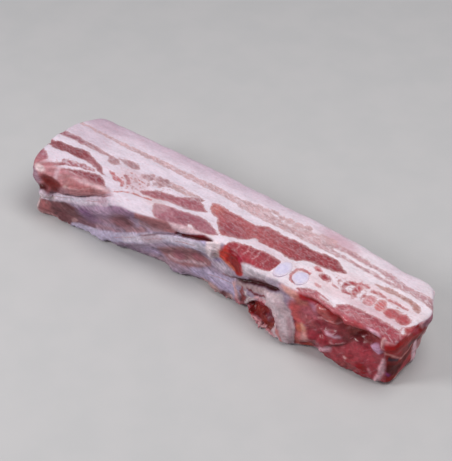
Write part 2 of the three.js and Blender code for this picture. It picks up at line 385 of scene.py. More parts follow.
FAT_TINTS = (  # faint blushes in the fat: centre, radii, turn, colour, strength
    ((150, -16.5), (30, 4), 0, (212, 174, 184), 0.8),
    ((40, -8), (24, 4), -10, (210, 186, 197), 0.7),
    ((82, 33), (18, 6), -8, (198, 156, 170), 0.75),
    ((-160, 18), (24, 9), -4, (202, 182, 196), 0.7),
    ((-158, 36), (20, 9), -4, (190, 164, 180), 0.7),
    ((142, 28), (22, 8), -16, (214, 196, 208), 0.7),
    ((135, 2), (40, 5), -3, (222, 190, 196), 0.5),
    ((-150, -37), (24, 8), 8, (176, 144, 155), 0.9),
    ((-118, -35), (18, 8), 14, (158, 124, 132), 0.9),
    ((-92, -6), (18, 9), -20, (210, 182, 192), 0.7),
    ((-60, -16), (16, 6), -15, (212, 188, 194), 0.7),
    ((-14, -23), (14, 6), 20, (216, 196, 198), 0.6),
    ((100, -14), (18, 6), -10, (224, 196, 202), 0.6),
)

FLECKED = (  # where scraps of lean lie loose in the fat: centre, radii, turn, strength
    ((-92, -8), (18, 11), -20, 1.0),
    ((-70, 4), (16, 8), 0, 0.9),
    ((-150, -20), (20, 6), 20, 0.5),
    ((140, -5), (36, 9), 0, 0.8),
    ((108, -6), (18, 8), 0, 0.8),
    ((75, -12), (10, 9), 0, 0.5),
    ((-112, 6), (18, 9), 0, 0.35),
)


FAR_OUTSIDE = -99.0  # a depth outside every streak, in mm
STREAK_CONTRAST = 1.6  # how sharply the colour of one streak gives way to the next


def layers(x, y):
    """Depth inside the lean in mm, negative in the fat, with its colour, bundle walls and loose flecks."""
    depth = np.full(len(x), FAR_OUTSIDE)
    weight = np.zeros(len(x))
    colour = np.zeros((len(x), 3))
    walls = np.zeros(len(x))
    for streak_colour, streak_walls, inside in streaks(x, y):
        share = np.exp(STREAK_CONTRAST * np.clip(inside, -8, 3))
        colour += share[:, None] * streak_colour
        walls += share * streak_walls
        weight += share
        depth = np.maximum(depth, inside)
    for points, width in SEAMS:
        depth = np.minimum(depth, -line(x, y, points, width))
    flecks = np.zeros(len(x))
    for centre, radii, turn, strength in FLECKED:
        flecks = np.maximum(flecks, strength * smooth(-2, 5, blob(x, y, centre, radii, turn)))
    return depth, colour / weight[:, None], walls / weight, flecks


def paint(colour, depth, paint_colour, soft, strength=1.0):
    """Lays a colour over part of the surface, with an edge that is soft over some mm."""
    cover = (strength * smooth(-soft, soft, depth))[:, None]
    colour += (paint_colour - colour) * cover


# ---------------------------------------------------------------- the bone side

RIB_1 = [(-176, 15), (-162, 18.4), (-150, 23), (-140, 26.6), (-130, 30), (-120, 34), (-110, 39), (-100, 44),
         (-90, 49), (-80, 53), (-60, 57)]
RIB_2 = [(-134, -2), (-120, 1.4), (-108, 4), (-95, 8), (-80, 15), (-70, 20), (-60, 25), (-50, 30.5),
         (-42, 35), (-32, 40), (-20, 44.5), (-8, 47), (6, 47)]
FOLD_1 = [(-166, 23), (-158, 25), (-147, 29), (-138, 32.6), (-128, 36.6), (-118, 41), (-110, 44.5),
          (-100, 48.5), (-93, 51.5), (-87, 57)]
FOLD_2 = [(-64, 26.5), (-54, 31), (-48, 35), (-44, 38.4), (-38, 42), (-30, 46), (-20, 50)]
SLIT_1 = [(-24, 49.6), (-14, 51.6), (-4, 54.4), (4, 57.6), (9, 60)]
SLIT_2 = [(30, 31.4), (38, 34), (46, 37.4), (55, 40), (62, 42), (71, 44)]
CREASE = [(119, 12), (126, 18), (131, 24), (135, 30), (140, 35.4), (148, 40)]
FOLD_LINE = FOLD_1 + FOLD_2[4:] + [(60, 60)]  # the film with fibres lies below this
UNDER_LIP = [(93, 50), (107, 50.4), (118, 48.6), (126, 45.6), (133, 43.4), (142, 44.4), (151, 46),
             (158, 45)]


def side_left(c, x, z):
    """Muscle roll over the first rib, and the bare panel below it."""
    paint(c, band(x, z, [(-192, 22), (-166, 23), (-147, 29), (-118, 41), (-87, 57)],
                  [(-192, 90), (-87, 90)]),
          rgb(166, 108, 114), 1.0)
    paint(c, line(x, z, [(-150, 47), (-134, 51), (-118, 56)], 2.4), rgb(196, 152, 158), 1)
    paint(c, line(x, z, [(-146, 40), (-128, 46.6), (-108, 51.6)], 1.8), rgb(186, 140, 146), 0.9)
    paint(c, line(x, z, [(-138, 56), (-118, 59), (-100, 60)], 2.2), rgb(190, 146, 152), 1)
    # painted shade: the lower part of the roll darkens towards the fold beneath it
    paint(c, line(x, z, [(-140, 37), (-128, 42), (-112, 48), (-98, 52)], 7), rgb(152, 104, 108), 2.5)
    paint(c, line(x, z, [(-136, 44), (-122, 47), (-112, 50)], 5), rgb(146, 88, 90), 2, 0.8)
    paint(c, line(x, z, [(-126, 52), (-112, 54.5), (-96, 56)], 4), rgb(196, 162, 168), 2)
    paint(c, line(x, z, [(-148, 52), (-130, 57), (-112, 60)], 4), rgb(178, 112, 120), 2, 0.8)
    paint(c, line(x, z, [(-152, 43), (-149, 56)], 4), rgb(198, 164, 174), 1.6)
    paint(c, line(x, z, [(-141, 37), (-139, 45)], 3), rgb(196, 158, 158), 1.4)
    paint(c, blob(x, z, (-157, 34), (13, 7.5), 6), DARK_BLOOD, 2.4)
    paint(c, blob(x, z, (-160, 33), (8, 3), 10), rgb(98, 40, 38), 2.5)
    paint(c, blob(x, z, (-168, 25), (6, 3), 10), rgb(76, 30, 30), 1.6)
    paint(c, blob(x, z, (-142, 34), (6, 3), 25), rgb(146, 102, 110), 2)
    paint(c, blob(x, z, (-170, 44.5), (6, 4), 20), rgb(204, 180, 182), 1.6)
    paint(c, line(x, z, [(-182, 44), (-174, 36), (-174, 28)], 7), rgb(140, 110, 122), 2)
    paint(c, blob(x, z, (-139, 46), (9, 6), 10), rgb(156, 96, 96), 3, 0.8)

    paint(c, band(x, z, [(-192, -12), (-150, -12), (-112, -2)],
                  [(-192, 16), (-164, 15.6), (-150, 19.8), (-130, 20), (-112, 14)]), PANEL_BROWN, 1.6)
    paint(c, line(x, z, [(-152, 18.6), (-138, 18.6), (-126, 16), (-114, 10)], 5), rgb(90, 58, 62), 2)
    paint(c, blob(x, z, (-166, 4), (9, 8), 0), rgb(142, 88, 90), 4)
    paint(c, blob(x, z, (-150, 8), (9, 7), 0), rgb(104, 66, 70), 4)
    paint(c, line(x, z, [(-179, -6), (-174, 8), (-171, 15)], 3.4), rgb(188, 166, 166), 1.4)
    paint(c, line(x, z, [(-176, -5), (-160, -3.4), (-140, -2.6), (-122, -1)], 3), rgb(168, 124, 126), 1.6)
    paint(c, blob(x, z, (-122, 9), (9, 4), 10), rgb(120, 88, 98), 2)
    paint(c, blob(x, z, (-134, 5.4), (4, 2), 40), rgb(172, 134, 136), 1.2, 0.8)
    paint(c, blob(x, z, (-118, 8), (5, 2), 10), rgb(132, 96, 106), 1.2, 0.8)


def side_membranes(c, x, z):
    """Violet and brown panels that show through the film between the ribs."""
    paint(c, blob(x, z, (-116, 20), (13, 7), 10), rgb(134, 104, 126), 3)
    paint(c, blob(x, z, (-121, 21), (6, 3.5), 0), rgb(128, 94, 126), 2)
    paint(c, line(x, z, [(-110, 12.4), (-100, 15), (-84, 19)], 5), rgb(150, 118, 130), 2.5)
    paint(c, blob(x, z, (-100, 25), (9, 5), 15), rgb(154, 122, 137), 2.5)
    paint(c, blob(x, z, (-103, 30), (11, 5), 25), rgb(164, 136, 158), 3)
    paint(c, blob(x, z, (-80, 42.6), (18, 5.5), 14), rgb(136, 106, 128), 3)
    paint(c, blob(x, z, (-82, 31), (13, 6.5), 16), rgb(130, 90, 97), 3)
    paint(c, blob(x, z, (-78, 34), (6, 3), 10), rgb(114, 78, 84), 2.5)
    paint(c, line(x, z, [(-76, 25), (-66, 30), (-58, 35)], 6), rgb(152, 116, 124), 2)
    paint(c, line(x, z, [(-62, 40), (-48, 43), (-36, 48)], 4), rgb(150, 118, 126), 1.6)
    paint(c, band(x, z, [(-68, 42), (-56, 43), (-40, 46.5), (-24, 50.5)],
                  [(-68, 54), (-40, 57), (-24, 54)]),
          rgb(144, 96, 100), 1.4)
    paint(c, line(x, z, [(-60, 57), (-44, 58)], 6), rgb(196, 144, 136), 2)
    paint(c, line(x, z, [(-82, 7), (-60, 8)], 5), rgb(140, 116, 136), 2)
    paint(c, blob(x, z, (-52, 16), (10, 3.6), 16), rgb(166, 146, 172), 2)
    paint(c, blob(x, z, (-40, 12), (16, 3), 5), rgb(158, 130, 142), 2.5)
    paint(c, band(x, z, [(-46, 20), (-34, 16), (-18, 17), (-6, 24), (8, 32)],
                  [(-46, 22), (-32, 31), (-20, 38.4), (-8, 41), (8, 37)]), rgb(148, 106, 110), 2.2)
    paint(c, blob(x, z, (-24, 27), (6, 4.6), 20), rgb(146, 96, 106), 2.5)
    paint(c, blob(x, z, (-6, 35), (7, 3.8), 15), rgb(150, 94, 103), 2)
    paint(c, line(x, z, [(-34, 20), (-22, 21), (-10, 27), (2, 31)], 2.4), rgb(186, 158, 168), 1.4, 0.8)
    paint(c, band(x, z, [(-12, 16), (10, 15), (30, 14), (36, 16)],
                  [(-12, 20), (6, 27), (28, 30.6), (36, 27)]),
          rgb(160, 145, 170), 2)
    paint(c, line(x, z, [(8, 23), (20, 24), (30, 24)], 5), rgb(176, 162, 186), 2)
    paint(c, blob(x, z, (19, 37.5), (12, 5.4), -22), rgb(162, 146, 160), 2)
    paint(c, blob(x, z, (13, 43.4), (5, 3), 10), rgb(134, 118, 148), 2)
    paint(c, blob(x, z, (18, 38), (4, 2), -30), rgb(186, 170, 186), 1.2)
    paint(c, blob(x, z, (2, 50), (4, 5), 10), rgb(176, 164, 194), 1.6)
    paint(c, line(x, z, RIB_1, 9.4), MEMBRANE_PALE, 1.3)
    # painted highlight: a paler strip along the crest of the first rib
    paint(c, line(x, z, RIB_1[2:6], 4), rgb(196, 186, 200), 2)
    paint(c, line(x, z, [(-176, 14), (-166, 17.6), (-156, 20)], 6), rgb(202, 182, 184), 1.6)
    paint(c, line(x, z, [(-104, 41), (-97, 46)], 6), rgb(178, 150, 164), 2)
    paint(c, line(x, z, RIB_2, 9.8), MEMBRANE_LILAC, 1.3)
    # painted highlight: a paler strip along the crest of the second rib
    paint(c, line(x, z, RIB_2[4:], 6), rgb(188, 176, 190), 2.4)
    paint(c, line(x, z, [(-58, 26), (-50, 30), (-43, 34)], 8), rgb(172, 152, 164), 2.5)
    paint(c, band(x, z, [(-38, 60), (-28, 53), (-14, 55.4), (0, 60), (12, 62)], [(-38, 90), (12, 90)]),
          rgb(198, 166, 174), 2.2)
    paint(c, band(x, z, [(4, 45), (18, 47)], [(4, 90), (18, 90)]), rgb(213, 192, 198), 2.6)
    paint(c, line(x, z, [(8.6, 44), (9.4, 58)], 6), rgb(208, 190, 196), 2.6)
    paint(c, line(x, z, [(13, 46), (18, 52)], 5), rgb(192, 166, 166), 1.6)


def side_pocket(c, x, z):
    """The vivid wet spot, the white sinew, the slit, the open pocket and the fat beside it."""
    paint(c, line(x, z, [(1, 12.4), (10, 12), (18, 9), (27, 9.4)], 6), rgb(166, 132, 132), 1.6)
    paint(c, blob(x, z, (21, 11), (4, 2.2), 0), rgb(116, 76, 80), 1.4)
    paint(c, band(x, z, [(16, 46.6), (20, 45.4), (28, 41.4), (34, 37.6), (38.4, 40), (40.6, 48)],
                  [(16, 47), (19, 54), (22, 62), (28, 80), (36, 80), (40.6, 54)]), VIVID_RED, 0.9)
    paint(c, band(x, z, [(36, 54), (44, 53.4), (52, 55), (60, 58)], [(36, 90), (60, 90)]), BRIGHT_LEAN, 1)
    paint(c, blob(x, z, (20.6, 52), (4, 5.6), -20), rgb(182, 62, 54), 2)
    paint(c, blob(x, z, (30, 51), (6.6, 8.6), -20), rgb(128, 10, 20), 2.4)
    paint(c, blob(x, z, (31, 60), (6, 5), 0), rgb(124, 30, 48), 2.4)
    paint(c, blob(x, z, (32, 43), (5, 3.6), -40), rgb(130, 32, 22), 2)
    paint(c, blob(x, z, (36.6, 53), (2.6, 7), 0), rgb(148, 44, 62), 1.6)
    paint(c, line(x, z, [(18, 47), (24, 44), (30, 40)], 2), rgb(196, 110, 80), 1.2, 0.7)

    paint(c, line(x, z, [(42, 45), (54, 48), (66, 50)], 8), rgb(180, 164, 173), 2)
    paint(c, line(x, z, [(40, 49.6), (50, 52.4), (62, 54), (78, 55)], 6), rgb(198, 184, 193), 1.8)
    paint(c, line(x, z, [(46, 39.4), (58, 42.6), (71, 44.4)], 4), rgb(116, 84, 88), 1.6)
    paint(c, line(x, z, [(36, 30.4), (48, 32.4), (62, 35)], 7), rgb(160, 134, 138), 1.8)
    paint(c, line(x, z, [(60, 28), (68, 36), (74, 38)], 6), rgb(188, 168, 174), 2)
    paint(c, line(x, z, [(31, 27), (33.6, 17), (36, 8), (41, 0)], 4.6), rgb(194, 152, 156), 1.2)
    paint(c, line(x, z, [(38.4, 28), (38, 22), (39.6, 15)], 2.2), rgb(132, 66, 62), 1.2)
    paint(c, line(x, z, [(42, 24), (45, 19), (44, 13)], 3), rgb(196, 178, 182), 1.2)
    paint(c, line(x, z, [(44, 29), (52, 27.6), (60, 30)], 2.6), rgb(112, 50, 56), 1)
    paint(c, band(x, z, [(31, 10), (36, -2), (44, -9), (70, -12)], [(31, 14), (40, 12), (50, 6), (70, 2)]),
          rgb(184, 116, 124), 1.4)
    paint(c, blob(x, z, (39.6, 18), (2.4, 7), 0), rgb(140, 74, 74), 1.6)
    # the pocket's inside: its own dark meat, darkened further with painted shade
    paint(c, band(x, z, [(41.6, 13), (45, 9), (50, 6.4), (56, 4), (62, 0.6), (70, -1)],
                  [(41.6, 13), (46, 18), (52, 22), (58, 24), (64, 20), (70, 8)]), rgb(112, 38, 40), 1.2)
    paint(c, blob(x, z, (55.4, 16), (3.6, 4.2), -10), rgb(126, 50, 46), 1.8)
    paint(c, blob(x, z, (50, 11), (3, 4), 0), rgb(102, 34, 28), 1.8)
    paint(c, blob(x, z, (60, 9), (4, 6), -20), rgb(138, 66, 64), 2)
    paint(c, blob(x, z, (47, 6.4), (5, 3), -10), rgb(132, 38, 44), 1.8)
    paint(c, blob(x, z, (64, 3), (5, 5), 0), rgb(118, 50, 46), 2)
    paint(c, blob(x, z, (59, 22.6), (4, 2.4), 10), rgb(152, 62, 72), 1.2)
    paint(c, line(x, z, [(42.6, 14), (45, 19), (49, 22.6)], 2.8), rgb(192, 176, 178), 0.8)
    paint(c, line(x, z, [(51, 24.4), (56, 25), (62, 24)], 2.6), rgb(194, 146, 154), 1)
    paint(c, line(x, z, [(41, 4), (46, -1), (53, -3.6), (62, -5.4)], 7), rgb(196, 130, 138), 1.8)
    paint(c, line(x, z, [(48, 2.6), (54, 0.4), (61, -3)], 2), rgb(212, 166, 170), 1)
    paint(c, line(x, z, [(45, -4), (52, -7), (60, -8)], 2.4), rgb(160, 84, 92), 1.2)
    paint(c, line(x, z, [(36, 9), (40, 4), (45, 2)], 2.4), rgb(206, 168, 172), 1.2)
    paint(c, line(x, z, [(46, 3), (50, 1)], 2.4), rgb(206, 150, 152), 1)
    paint(c, blob(x, z, (63, -7.4), (3, 1.8), 20), rgb(214, 194, 196), 1)

    paint(c, band(x, z, [(59.6, 22), (64.4, 17), (67, 4), (70, -12), (85.6, -12), (86.6, -8)],
                  [(59.6, 36), (68, 38), (76, 35), (82, 28), (86.6, 14)]), rgb(188, 164, 170), 1.4)
    # painted light on the crest of a fold down the fat band, and painted shade beside it
    paint(c, line(x, z, [(63, 33), (68, 26), (75, 20), (77, 8), (78, -8)], 5), rgb(190, 170, 177), 2.4)
    paint(c, line(x, z, [(68, 14), (71, 4), (74, -6)], 4), rgb(172, 134, 144), 1.8)
    paint(c, line(x, z, [(82, 20), (83.6, 8), (83, -6)], 3), rgb(172, 138, 146), 1.6)
    paint(c, line(x, z, [(72, 32), (80, 28)], 5), rgb(176, 152, 160), 2)
    paint(c, line(x, z, [(76, 2), (82, -2)], 6), rgb(176, 150, 156), 2.4)
    paint(c, line(x, z, [(67.4, 15), (69.4, 4)], 3.2), rgb(206, 182, 186), 0.7)
    paint(c, line(x, z, [(62.6, 20), (64.6, 13), (65.4, 7)], 1.4), rgb(118, 62, 74), 0.9)
    paint(c, line(x, z, [(70, 6), (73, -3), (75, -8)], 2.6), rgb(192, 124, 124), 1)
    paint(c, blob(x, z, (66, 48.6), (5, 2.8), -10), rgb(166, 148, 164), 1.6)


def side_lean(c, x, z):
    """The deep lean of the right half, wet and uneven, with painted shade in its hollow and crease and
    painted highlights on its bulges.
    """
    paint(c, band(x, z, [(84, 44), (192, 44)], [(84, 95), (192, 95)]), rgb(168, 94, 102), 1)
    paint(c, band(x, z, [(85.4, -14), (192, -14)],
                  [(85.4, 14), (86, 30), (90, 46), (96, 52), (124, 48), (134, 50), (150, 51), (192, 56)]),
          SIDE_LEAN, 1.2)
    # painted shadow in the groove between the fat band and the deep lean
    paint(c, line(x, z, [(86.2, 24), (88.4, 15), (86.6, 8), (88, -6)], 2.6), rgb(124, 50, 56), 1.4)
    for centre, radii, turn, colour, soft in (
            ((83, 47.6), (9, 4.6), -8, (196, 142, 136), 2), ((92, 44), (6, 5), 0, (170, 98, 92), 2.5),
            ((87, 33), (6, 8), 15, (178, 86, 88), 2.5), ((88, 26), (4, 3), 0, (186, 92, 92), 1.6),
            ((96, 32), (6, 5), 0, (152, 80, 86), 3), ((95, 19), (2.6, 4), 10, (204, 148, 130), 1.8),
            ((91, 17), (3, 4), 0, (182, 100, 82), 2.2), ((92, 9), (3.4, 4), 0, (172, 96, 96), 2.2),
            ((97, 11), (3, 4), 10, (204, 146, 142), 2), ((90, 2), (3, 4), 0, (160, 82, 76), 2),
            ((93.6, -2.6), (3.4, 2), 10, (208, 178, 172), 1), ((99, 0), (6, 3.4), 30, (186, 90, 80), 2),
            ((103, -4), (6, 2.4), 0, (176, 82, 80), 1.6), ((103, 28), (5, 4), 0, (142, 76, 80), 2.5),
            ((116, 43), (11, 5), -14, (166, 84, 84), 2.4),
            # the next row is painted sheen, a lilac glint on a small raised bump
            ((103.6, 43), (4.4, 2.4), -40, (154, 104, 122), 1.6),
            ((100, 38), (7, 4), 0, (150, 80, 90), 2.5), ((106, 37), (3, 3), 0, (160, 88, 98), 1.6),
            ((119, 31), (10, 4), 10, (128, 58, 66), 2.5), ((108, 30), (3, 3), 0, (116, 46, 54), 2),
            ((104, 14), (5, 6), 0, (140, 52, 62), 3), ((114, 17), (9, 5), 15, (150, 56, 66), 2.5),
            ((112, 9), (6, 2.6), 0, (158, 74, 88), 2), ((124, 9), (8, 6), 0, (150, 62, 70), 3),
            ((137, 10), (6, 5), 0, (152, 56, 62), 2.6),
            ((139, 20), (6, 9), 0, (152, 64, 72), 3), ((148, 26), (8, 7), 0, (164, 66, 76), 3),
            ((148, 8), (6, 7), 0, (138, 34, 44), 3), ((157, 14), (4, 12), 0, (158, 60, 70), 2.4),
            # the rows at (140, 36), (145, 41) and (153, 39) are painted shade, in the hollow under the lip
            # and along the crease
            ((134, 2), (10, 3), 0, (138, 68, 70), 2), ((140, 36), (9, 4.4), 38, (122, 62, 64), 3),
            ((145, 41), (12, 4.6), -4, (104, 44, 42), 3), ((136, 39), (8, 6), 30, (116, 56, 54), 3),
            ((131, 36), (6, 6), 40, (132, 62, 66), 3), ((153, 39), (6, 4), 0, (120, 40, 46), 2.4),
            ((151, 33), (7, 2.4), 10, (138, 52, 62), 2)):
        paint(c, blob(x, z, centre, radii, turn), rgb(*colour), soft)
    paint(c, line(x, z, [(122, 47.4), (131, 46), (146, 48)], 5), rgb(160, 72, 77), 2)
    # painted shade: dark red under the overhanging lip and in the diagonal crease
    paint(c, line(x, z, [(93, 48), (100, 47.6), (108, 48)], 4), rgb(136, 48, 58), 2)
    paint(c, line(x, z, UNDER_LIP[:4], 4), rgb(138, 40, 42), 2)
    paint(c, line(x, z, UNDER_LIP[3:], 4), rgb(110, 42, 40), 2)
    paint(c, line(x, z, CREASE, 3), rgb(110, 46, 50), 1.8)
    paint(c, line(x, z, [(109, 36), (117, 38), (125, 41.6)], 1.2), rgb(190, 126, 128), 0.7, 0.8)
    paint(c, line(x, z, [(120, 18), (126, 21), (130, 24.6)], 1.4), rgb(186, 122, 126), 0.8)
    # painted highlights on the wet lean: two pale streaks over raised ridges and two small pale spots
    paint(c, line(x, z, [(115, 24.6), (120, 27), (126, 30)], 2.6), rgb(190, 146, 162), 1.4)
    paint(c, line(x, z, [(107, 1), (112, 4.8), (118, 9)], 4), rgb(200, 152, 164), 2)
    paint(c, blob(x, z, (132, 9), (1.8, 1.4), 20), rgb(204, 150, 150), 0.7)
    paint(c, blob(x, z, (155, 9), (1.2, 2.4), 0), rgb(190, 120, 128), 0.7)
    paint(c, blob(x, z, (159.6, 36), (5.2, 4.4), -15), rgb(184, 138, 166), 0.8)
    paint(c, blob(x, z, (166.4, 45), (3.6, 5.6), -14), rgb(204, 156, 156), 1.2)
    paint(c, blob(x, z, (156, 51), (5.4, 2.2), -20), rgb(196, 150, 166), 1)
    paint(c, line(x, z, [(160.4, 2), (164, 10), (167, 27)], 4.8), rgb(206, 158, 168), 1.2)
    paint(c, line(x, z, [(166, 34), (172, 37), (180, 40)], 1.8), rgb(190, 124, 122), 0.8)


def bone_side_colours(x, z):
    """Colour of the bone side, laid on from the ground up to the upper edge."""
    c = np.tile(MEMBRANE, (len(x), 1))
    side_left(c, x, z)
    side_membranes(c, x, z)
    side_lean(c, x, z)
    side_pocket(c, x, z)
    # painted shade: thin dark lines in the two folds
    paint(c, line(x, z, FOLD_1, 1.4), rgb(120, 62, 66), 1.0, 0.8)
    paint(c, line(x, z, FOLD_2, 1.2), rgb(110, 76, 80), 1.0, 0.8)
    paint(c, band(x, z, [(-26, 48.6), (-14, 50.2), (-4, 52.6), (9, 58.4)],
                  [(-26, 50.4), (-12, 55.4), (0, 60), (9, 62)]),
          rgb(118, 44, 48), 0.8)
    # painted shade: dark lines inside the two slits, and a wider painted shadow along the second
    paint(c, line(x, z, SLIT_1, 1.6), rgb(78, 28, 32), 0.8)
    paint(c, line(x, z, [(36, 32.6), (46, 36.4), (58, 39.8), (68, 42.2)], 2.8), rgb(80, 44, 50), 1.3)
    paint(c, line(x, z, SLIT_2, 1.8), SLIT_SHADOW, 1.0)
    paint(c, line(x, z, [(20, 31), (30, 31.6)], 1.8), rgb(120, 84, 84), 1, 0.8)
    return c


def near_end_colours(y, z):
    """Colour of the near end face."""
    c = np.tile(rgb(138, 36, 40), (len(y), 1))
    for colour, soft, points, width in (
            ((158, 50, 54), 3, [(-40, 52), (-16, 38), (-2, 32)], 12),
            ((98, 26, 30), 2.5, [(-8, 27), (5, 26)], 6),
            ((94, 14, 16), 3, [(-36, 24), (-30, 18), (-22, 13)], 10),
            ((166, 54, 62), 2.4, [(-34, 38), (-23, 31)], 6), ((112, 24, 24), 2, [(-18, 18), (-10, 16)], 6),
            ((204, 150, 156), 2, [(-52, 66), (-30, 48)], 6),
            # painted highlight: a pale streak on the wet red
            ((208, 140, 146), 1.4, [(-28, 62), (-13, 42)], 3.6),
            ((176, 74, 86), 1.6, [(-20, 54), (-2, 37)], 4.4),
            ((196, 132, 128), 0.8, [(-48, 48), (-30, 32), (-18, 20.6), (-11, 20.4), (-4, 24)], 1.3),
            # painted highlights: purple reflections on the wet dark red
            ((72, 36, 66), 1.2, [(-37, 34), (-24, 24)], 2.6),
            ((136, 66, 116), 1.2, [(-41, 23), (-33, 14)], 2.6),
            ((172, 66, 68), 2, [(-14, 11), (-5, 13)], 6), ((162, 70, 80), 2, [(-22, 9), (-12, 10)], 4)):
        paint(c, line(y, z, points, width), rgb(*colour), soft)
    paint(c, band(y, z, [(-7, 58), (2, 46), (8, 36), (13, 31), (44, 31)], [(-11, 90), (44, 90)]),
          rgb(226, 206, 214), 1.4)
    paint(c, line(y, z, [(-8, 58), (0, 46), (6, 36)], 3.4), rgb(202, 142, 149), 1.4)
    paint(c, line(y, z, [(-3, 62), (-1, 54)], 5), rgb(192, 142, 144), 1.4)
    paint(c, line(y, z, [(6, 62), (20, 40)], 5), rgb(188, 140, 146), 1.6)
    paint(c, line(y, z, [(10, 37), (24, 34), (22, 28)], 8), rgb(146, 102, 114), 2)
    paint(c, band(y, z, [(-4, -9), (44, -9)], [(-4, 20), (3, 21), (10, 29), (44, 29)]), rgb(180, 126, 130),
          1.2)
    paint(c, line(y, z, [(0, 22), (0.6, 0)], 5), rgb(222, 182, 192), 1)
    paint(c, line(y, z, [(-28, 6), (-16, 7), (-6, 4)], 2.2), rgb(194, 146, 140), 1)
    return c


def cut(x, z, points, width, height):
    """A rounded groove or ridge along a line."""
    return height * np.exp(-((width / 2 - line(x, z, points, width)) / (width / 2)) ** 2)


def grooves_and_ridges(x, z, place):
    """Relief of the bone side finer than the solid's, in mm outwards."""
    def along_rib(through, reach, width):
        offset = (place[:, 2] - through[1] - RIB_SLOPE * (place[:, 0] - through[0])) / width
        starts = smooth(reach[0] - RIB_FADE, reach[0] + RIB_FADE, place[:, 0])
        stops = smooth(reach[1] + RIB_FADE, reach[1] - RIB_FADE, place[:, 0])
        return starts * stops * np.exp(-offset ** 2)

    relief = 3.2 * along_rib((-130, 38), (-196, -85), 6.5) + 2.4 * along_rib((-25, 43), (-60, 0), 6.5)
    relief += cut(x, z, FOLD_1, 2.6, -1.7) + cut(x, z, FOLD_2, 2.2, -1.2)
    relief += cut(x, z, SLIT_1, 3.4, -3.4) + cut(x, z, SLIT_2, 3.0, -2.4)
    relief += cut(x, z, CREASE, 6.0, -1.9) + cut(x, z, UNDER_LIP, 6.0, -1.8)
    relief += 1.0 * smooth(-0.5, 2, line(x, z, RIB_1, 9.4)) + 1.0 * smooth(-0.5, 2, line(x, z, RIB_2, 9.8))
    relief -= 2.0 * smooth(-2, 4, blob(x, z, (143, 41), (15, 5.4), -4))
    relief += cut(x, z, [(116, 52), (126, 50), (134, 48), (144, 49), (156, 50)], 8, 2.6)
    pocket = smooth(-0.6, 2.0, band(x, z, [(42, 8), (45, 2), (58, -2), (70, 0)],
                                    [(42, 11), (50, 20), (60, 20), (70, 8)]))
    relief += pocket * (-1.4 + 2.6 * lumps(place, (6, 6, 5), 16) + 1.4 * lumps(place, (2.6, 3, 2.6), 17))
    relief += 3.4 * smooth(-2, 4, blob(x, z, (55, 9), (9, 9), -10))
    relief -= 1.6 * smooth(-1.4, 2, blob(x, z, (-158, 33), (12, 7), 8))
    relief -= 1.0 * smooth(-1, 3, blob(x, z, (30, 50), (8, 12), 0))
    for points, width, height in (
            ([(32, 27), (34, 16), (37, 7), (42, 0), (50, -4)], 4.6, 1.7),
            ([(44, 15), (49, 22.6), (60, 24)], 2.6, 1.2),
            ([(70, 16), (71, 3)], 2.4, 1.1), ([(63, 33), (70, 25), (78, 18), (80, 0)], 8, 1.2),
            ([(42, 51), (62, 54), (78, 55)], 6, 1.0), ([(86.6, 20), (87, 8), (86.4, -6)], 2.6, -1.2),
            ([(115, 24), (120, 27), (126, 30)], 4, 1.3), ([(107, 1), (112, 4.6), (118, 9)], 4.4, 1.4),
            ([(109, 36), (117, 38), (125, 41.6)], 2.4, 0.7), ([(120, 17), (126, 20.4), (130, 24)], 3, 0.9),
            ([(94, 22), (96, 12), (92, 6)], 5, 0.9), ([(98, 0), (106, 12), (110, 22)], 3, -1.0),
            ([(100, 34), (108, 28), (112, 20)], 3, -1.1), ([(140, 16), (150, 18), (158, 26)], 3, -0.9),
            ([(160, 2), (163, 10), (166, 27)], 3.6, 1.0), ([(8.6, 43), (9.4, 58)], 4, 1.2)):
        relief += cut(x, z, points, width, height)
    for centre, radii, turn, height in (((159.6, 36), (5.2, 4.4), -15, 1.6),
                                        ((166.4, 45), (3.6, 5.6), -14, 1.6),
                                        ((103.6, 43), (4.4, 2.4), -40, 0.9), ((116, 43), (11, 5), -14, 1.6),
                                        ((13, 43.4), (5, 3), 10, -0.4), ((132, 9), (1.8, 1.4), 20, 0.7)):
        relief += height * smooth(-1, 2, blob(x, z, centre, radii, turn))
    flat = place * [1, 0, 1]
    rough_lip = smooth(-4, 3, blob(x, z, (52, 8), (16, 22)))
    relief += rough_lip * (0.9 * lumps(flat, (3.4, 4, 3.4), 18) + 0.5 * lumps(flat, 1.7, 19))
    lean_part = smooth(84, 96, x)
    relief += (1 - lean_part) * 0.5 * lumps(place, (14, 8, 5), 4)
    knots = 1.2 * lumps(flat, (12, 9, 7), 5) + 0.8 * lumps(flat, (5.4, 5, 3.4), 6)
    relief += (0.25 + 0.75 * lean_part) * knots
    relief += 0.3 * lumps(place, 2.6, 7)
    return relief


# ---------------------------------------------------------------- meshes

def merged_copy(node, grow, ceiling):
    """A copy of a node's mesh with merged vertices, grown outwards by some mm and kept under a ceiling."""
    shell = bmesh.new()
    shell.from_mesh(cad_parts[node].data)
    bmesh.ops.remove_doubles(shell, verts=shell.verts, dist=1e-7)
    shell.normal_update()
    shifted = [v.co + v.normal * grow * MM for v in shell.verts]
    for vertex, place in zip(shell.verts, shifted):
        vertex.co = (place.x, place.y, min(place.z, ceiling * MM))
    return shell


def add_object(name, mesh):
    made = bpy.data.objects.new(name, mesh)
    bpy.context.scene.collection.objects.link(made)
    return made


def applied(obj):
    """Replaces an object's mesh by its evaluated one, and takes its modifiers away."""
    graph = bpy.context.evaluated_depsgraph_get()
    mesh = bpy.data.meshes.new_from_object(obj.evaluated_get(graph))
    obj.modifiers.clear()
    old, obj.data = obj.data, mesh
    bpy.data.meshes.remove(old)
    mesh.name = obj.name
    return obj


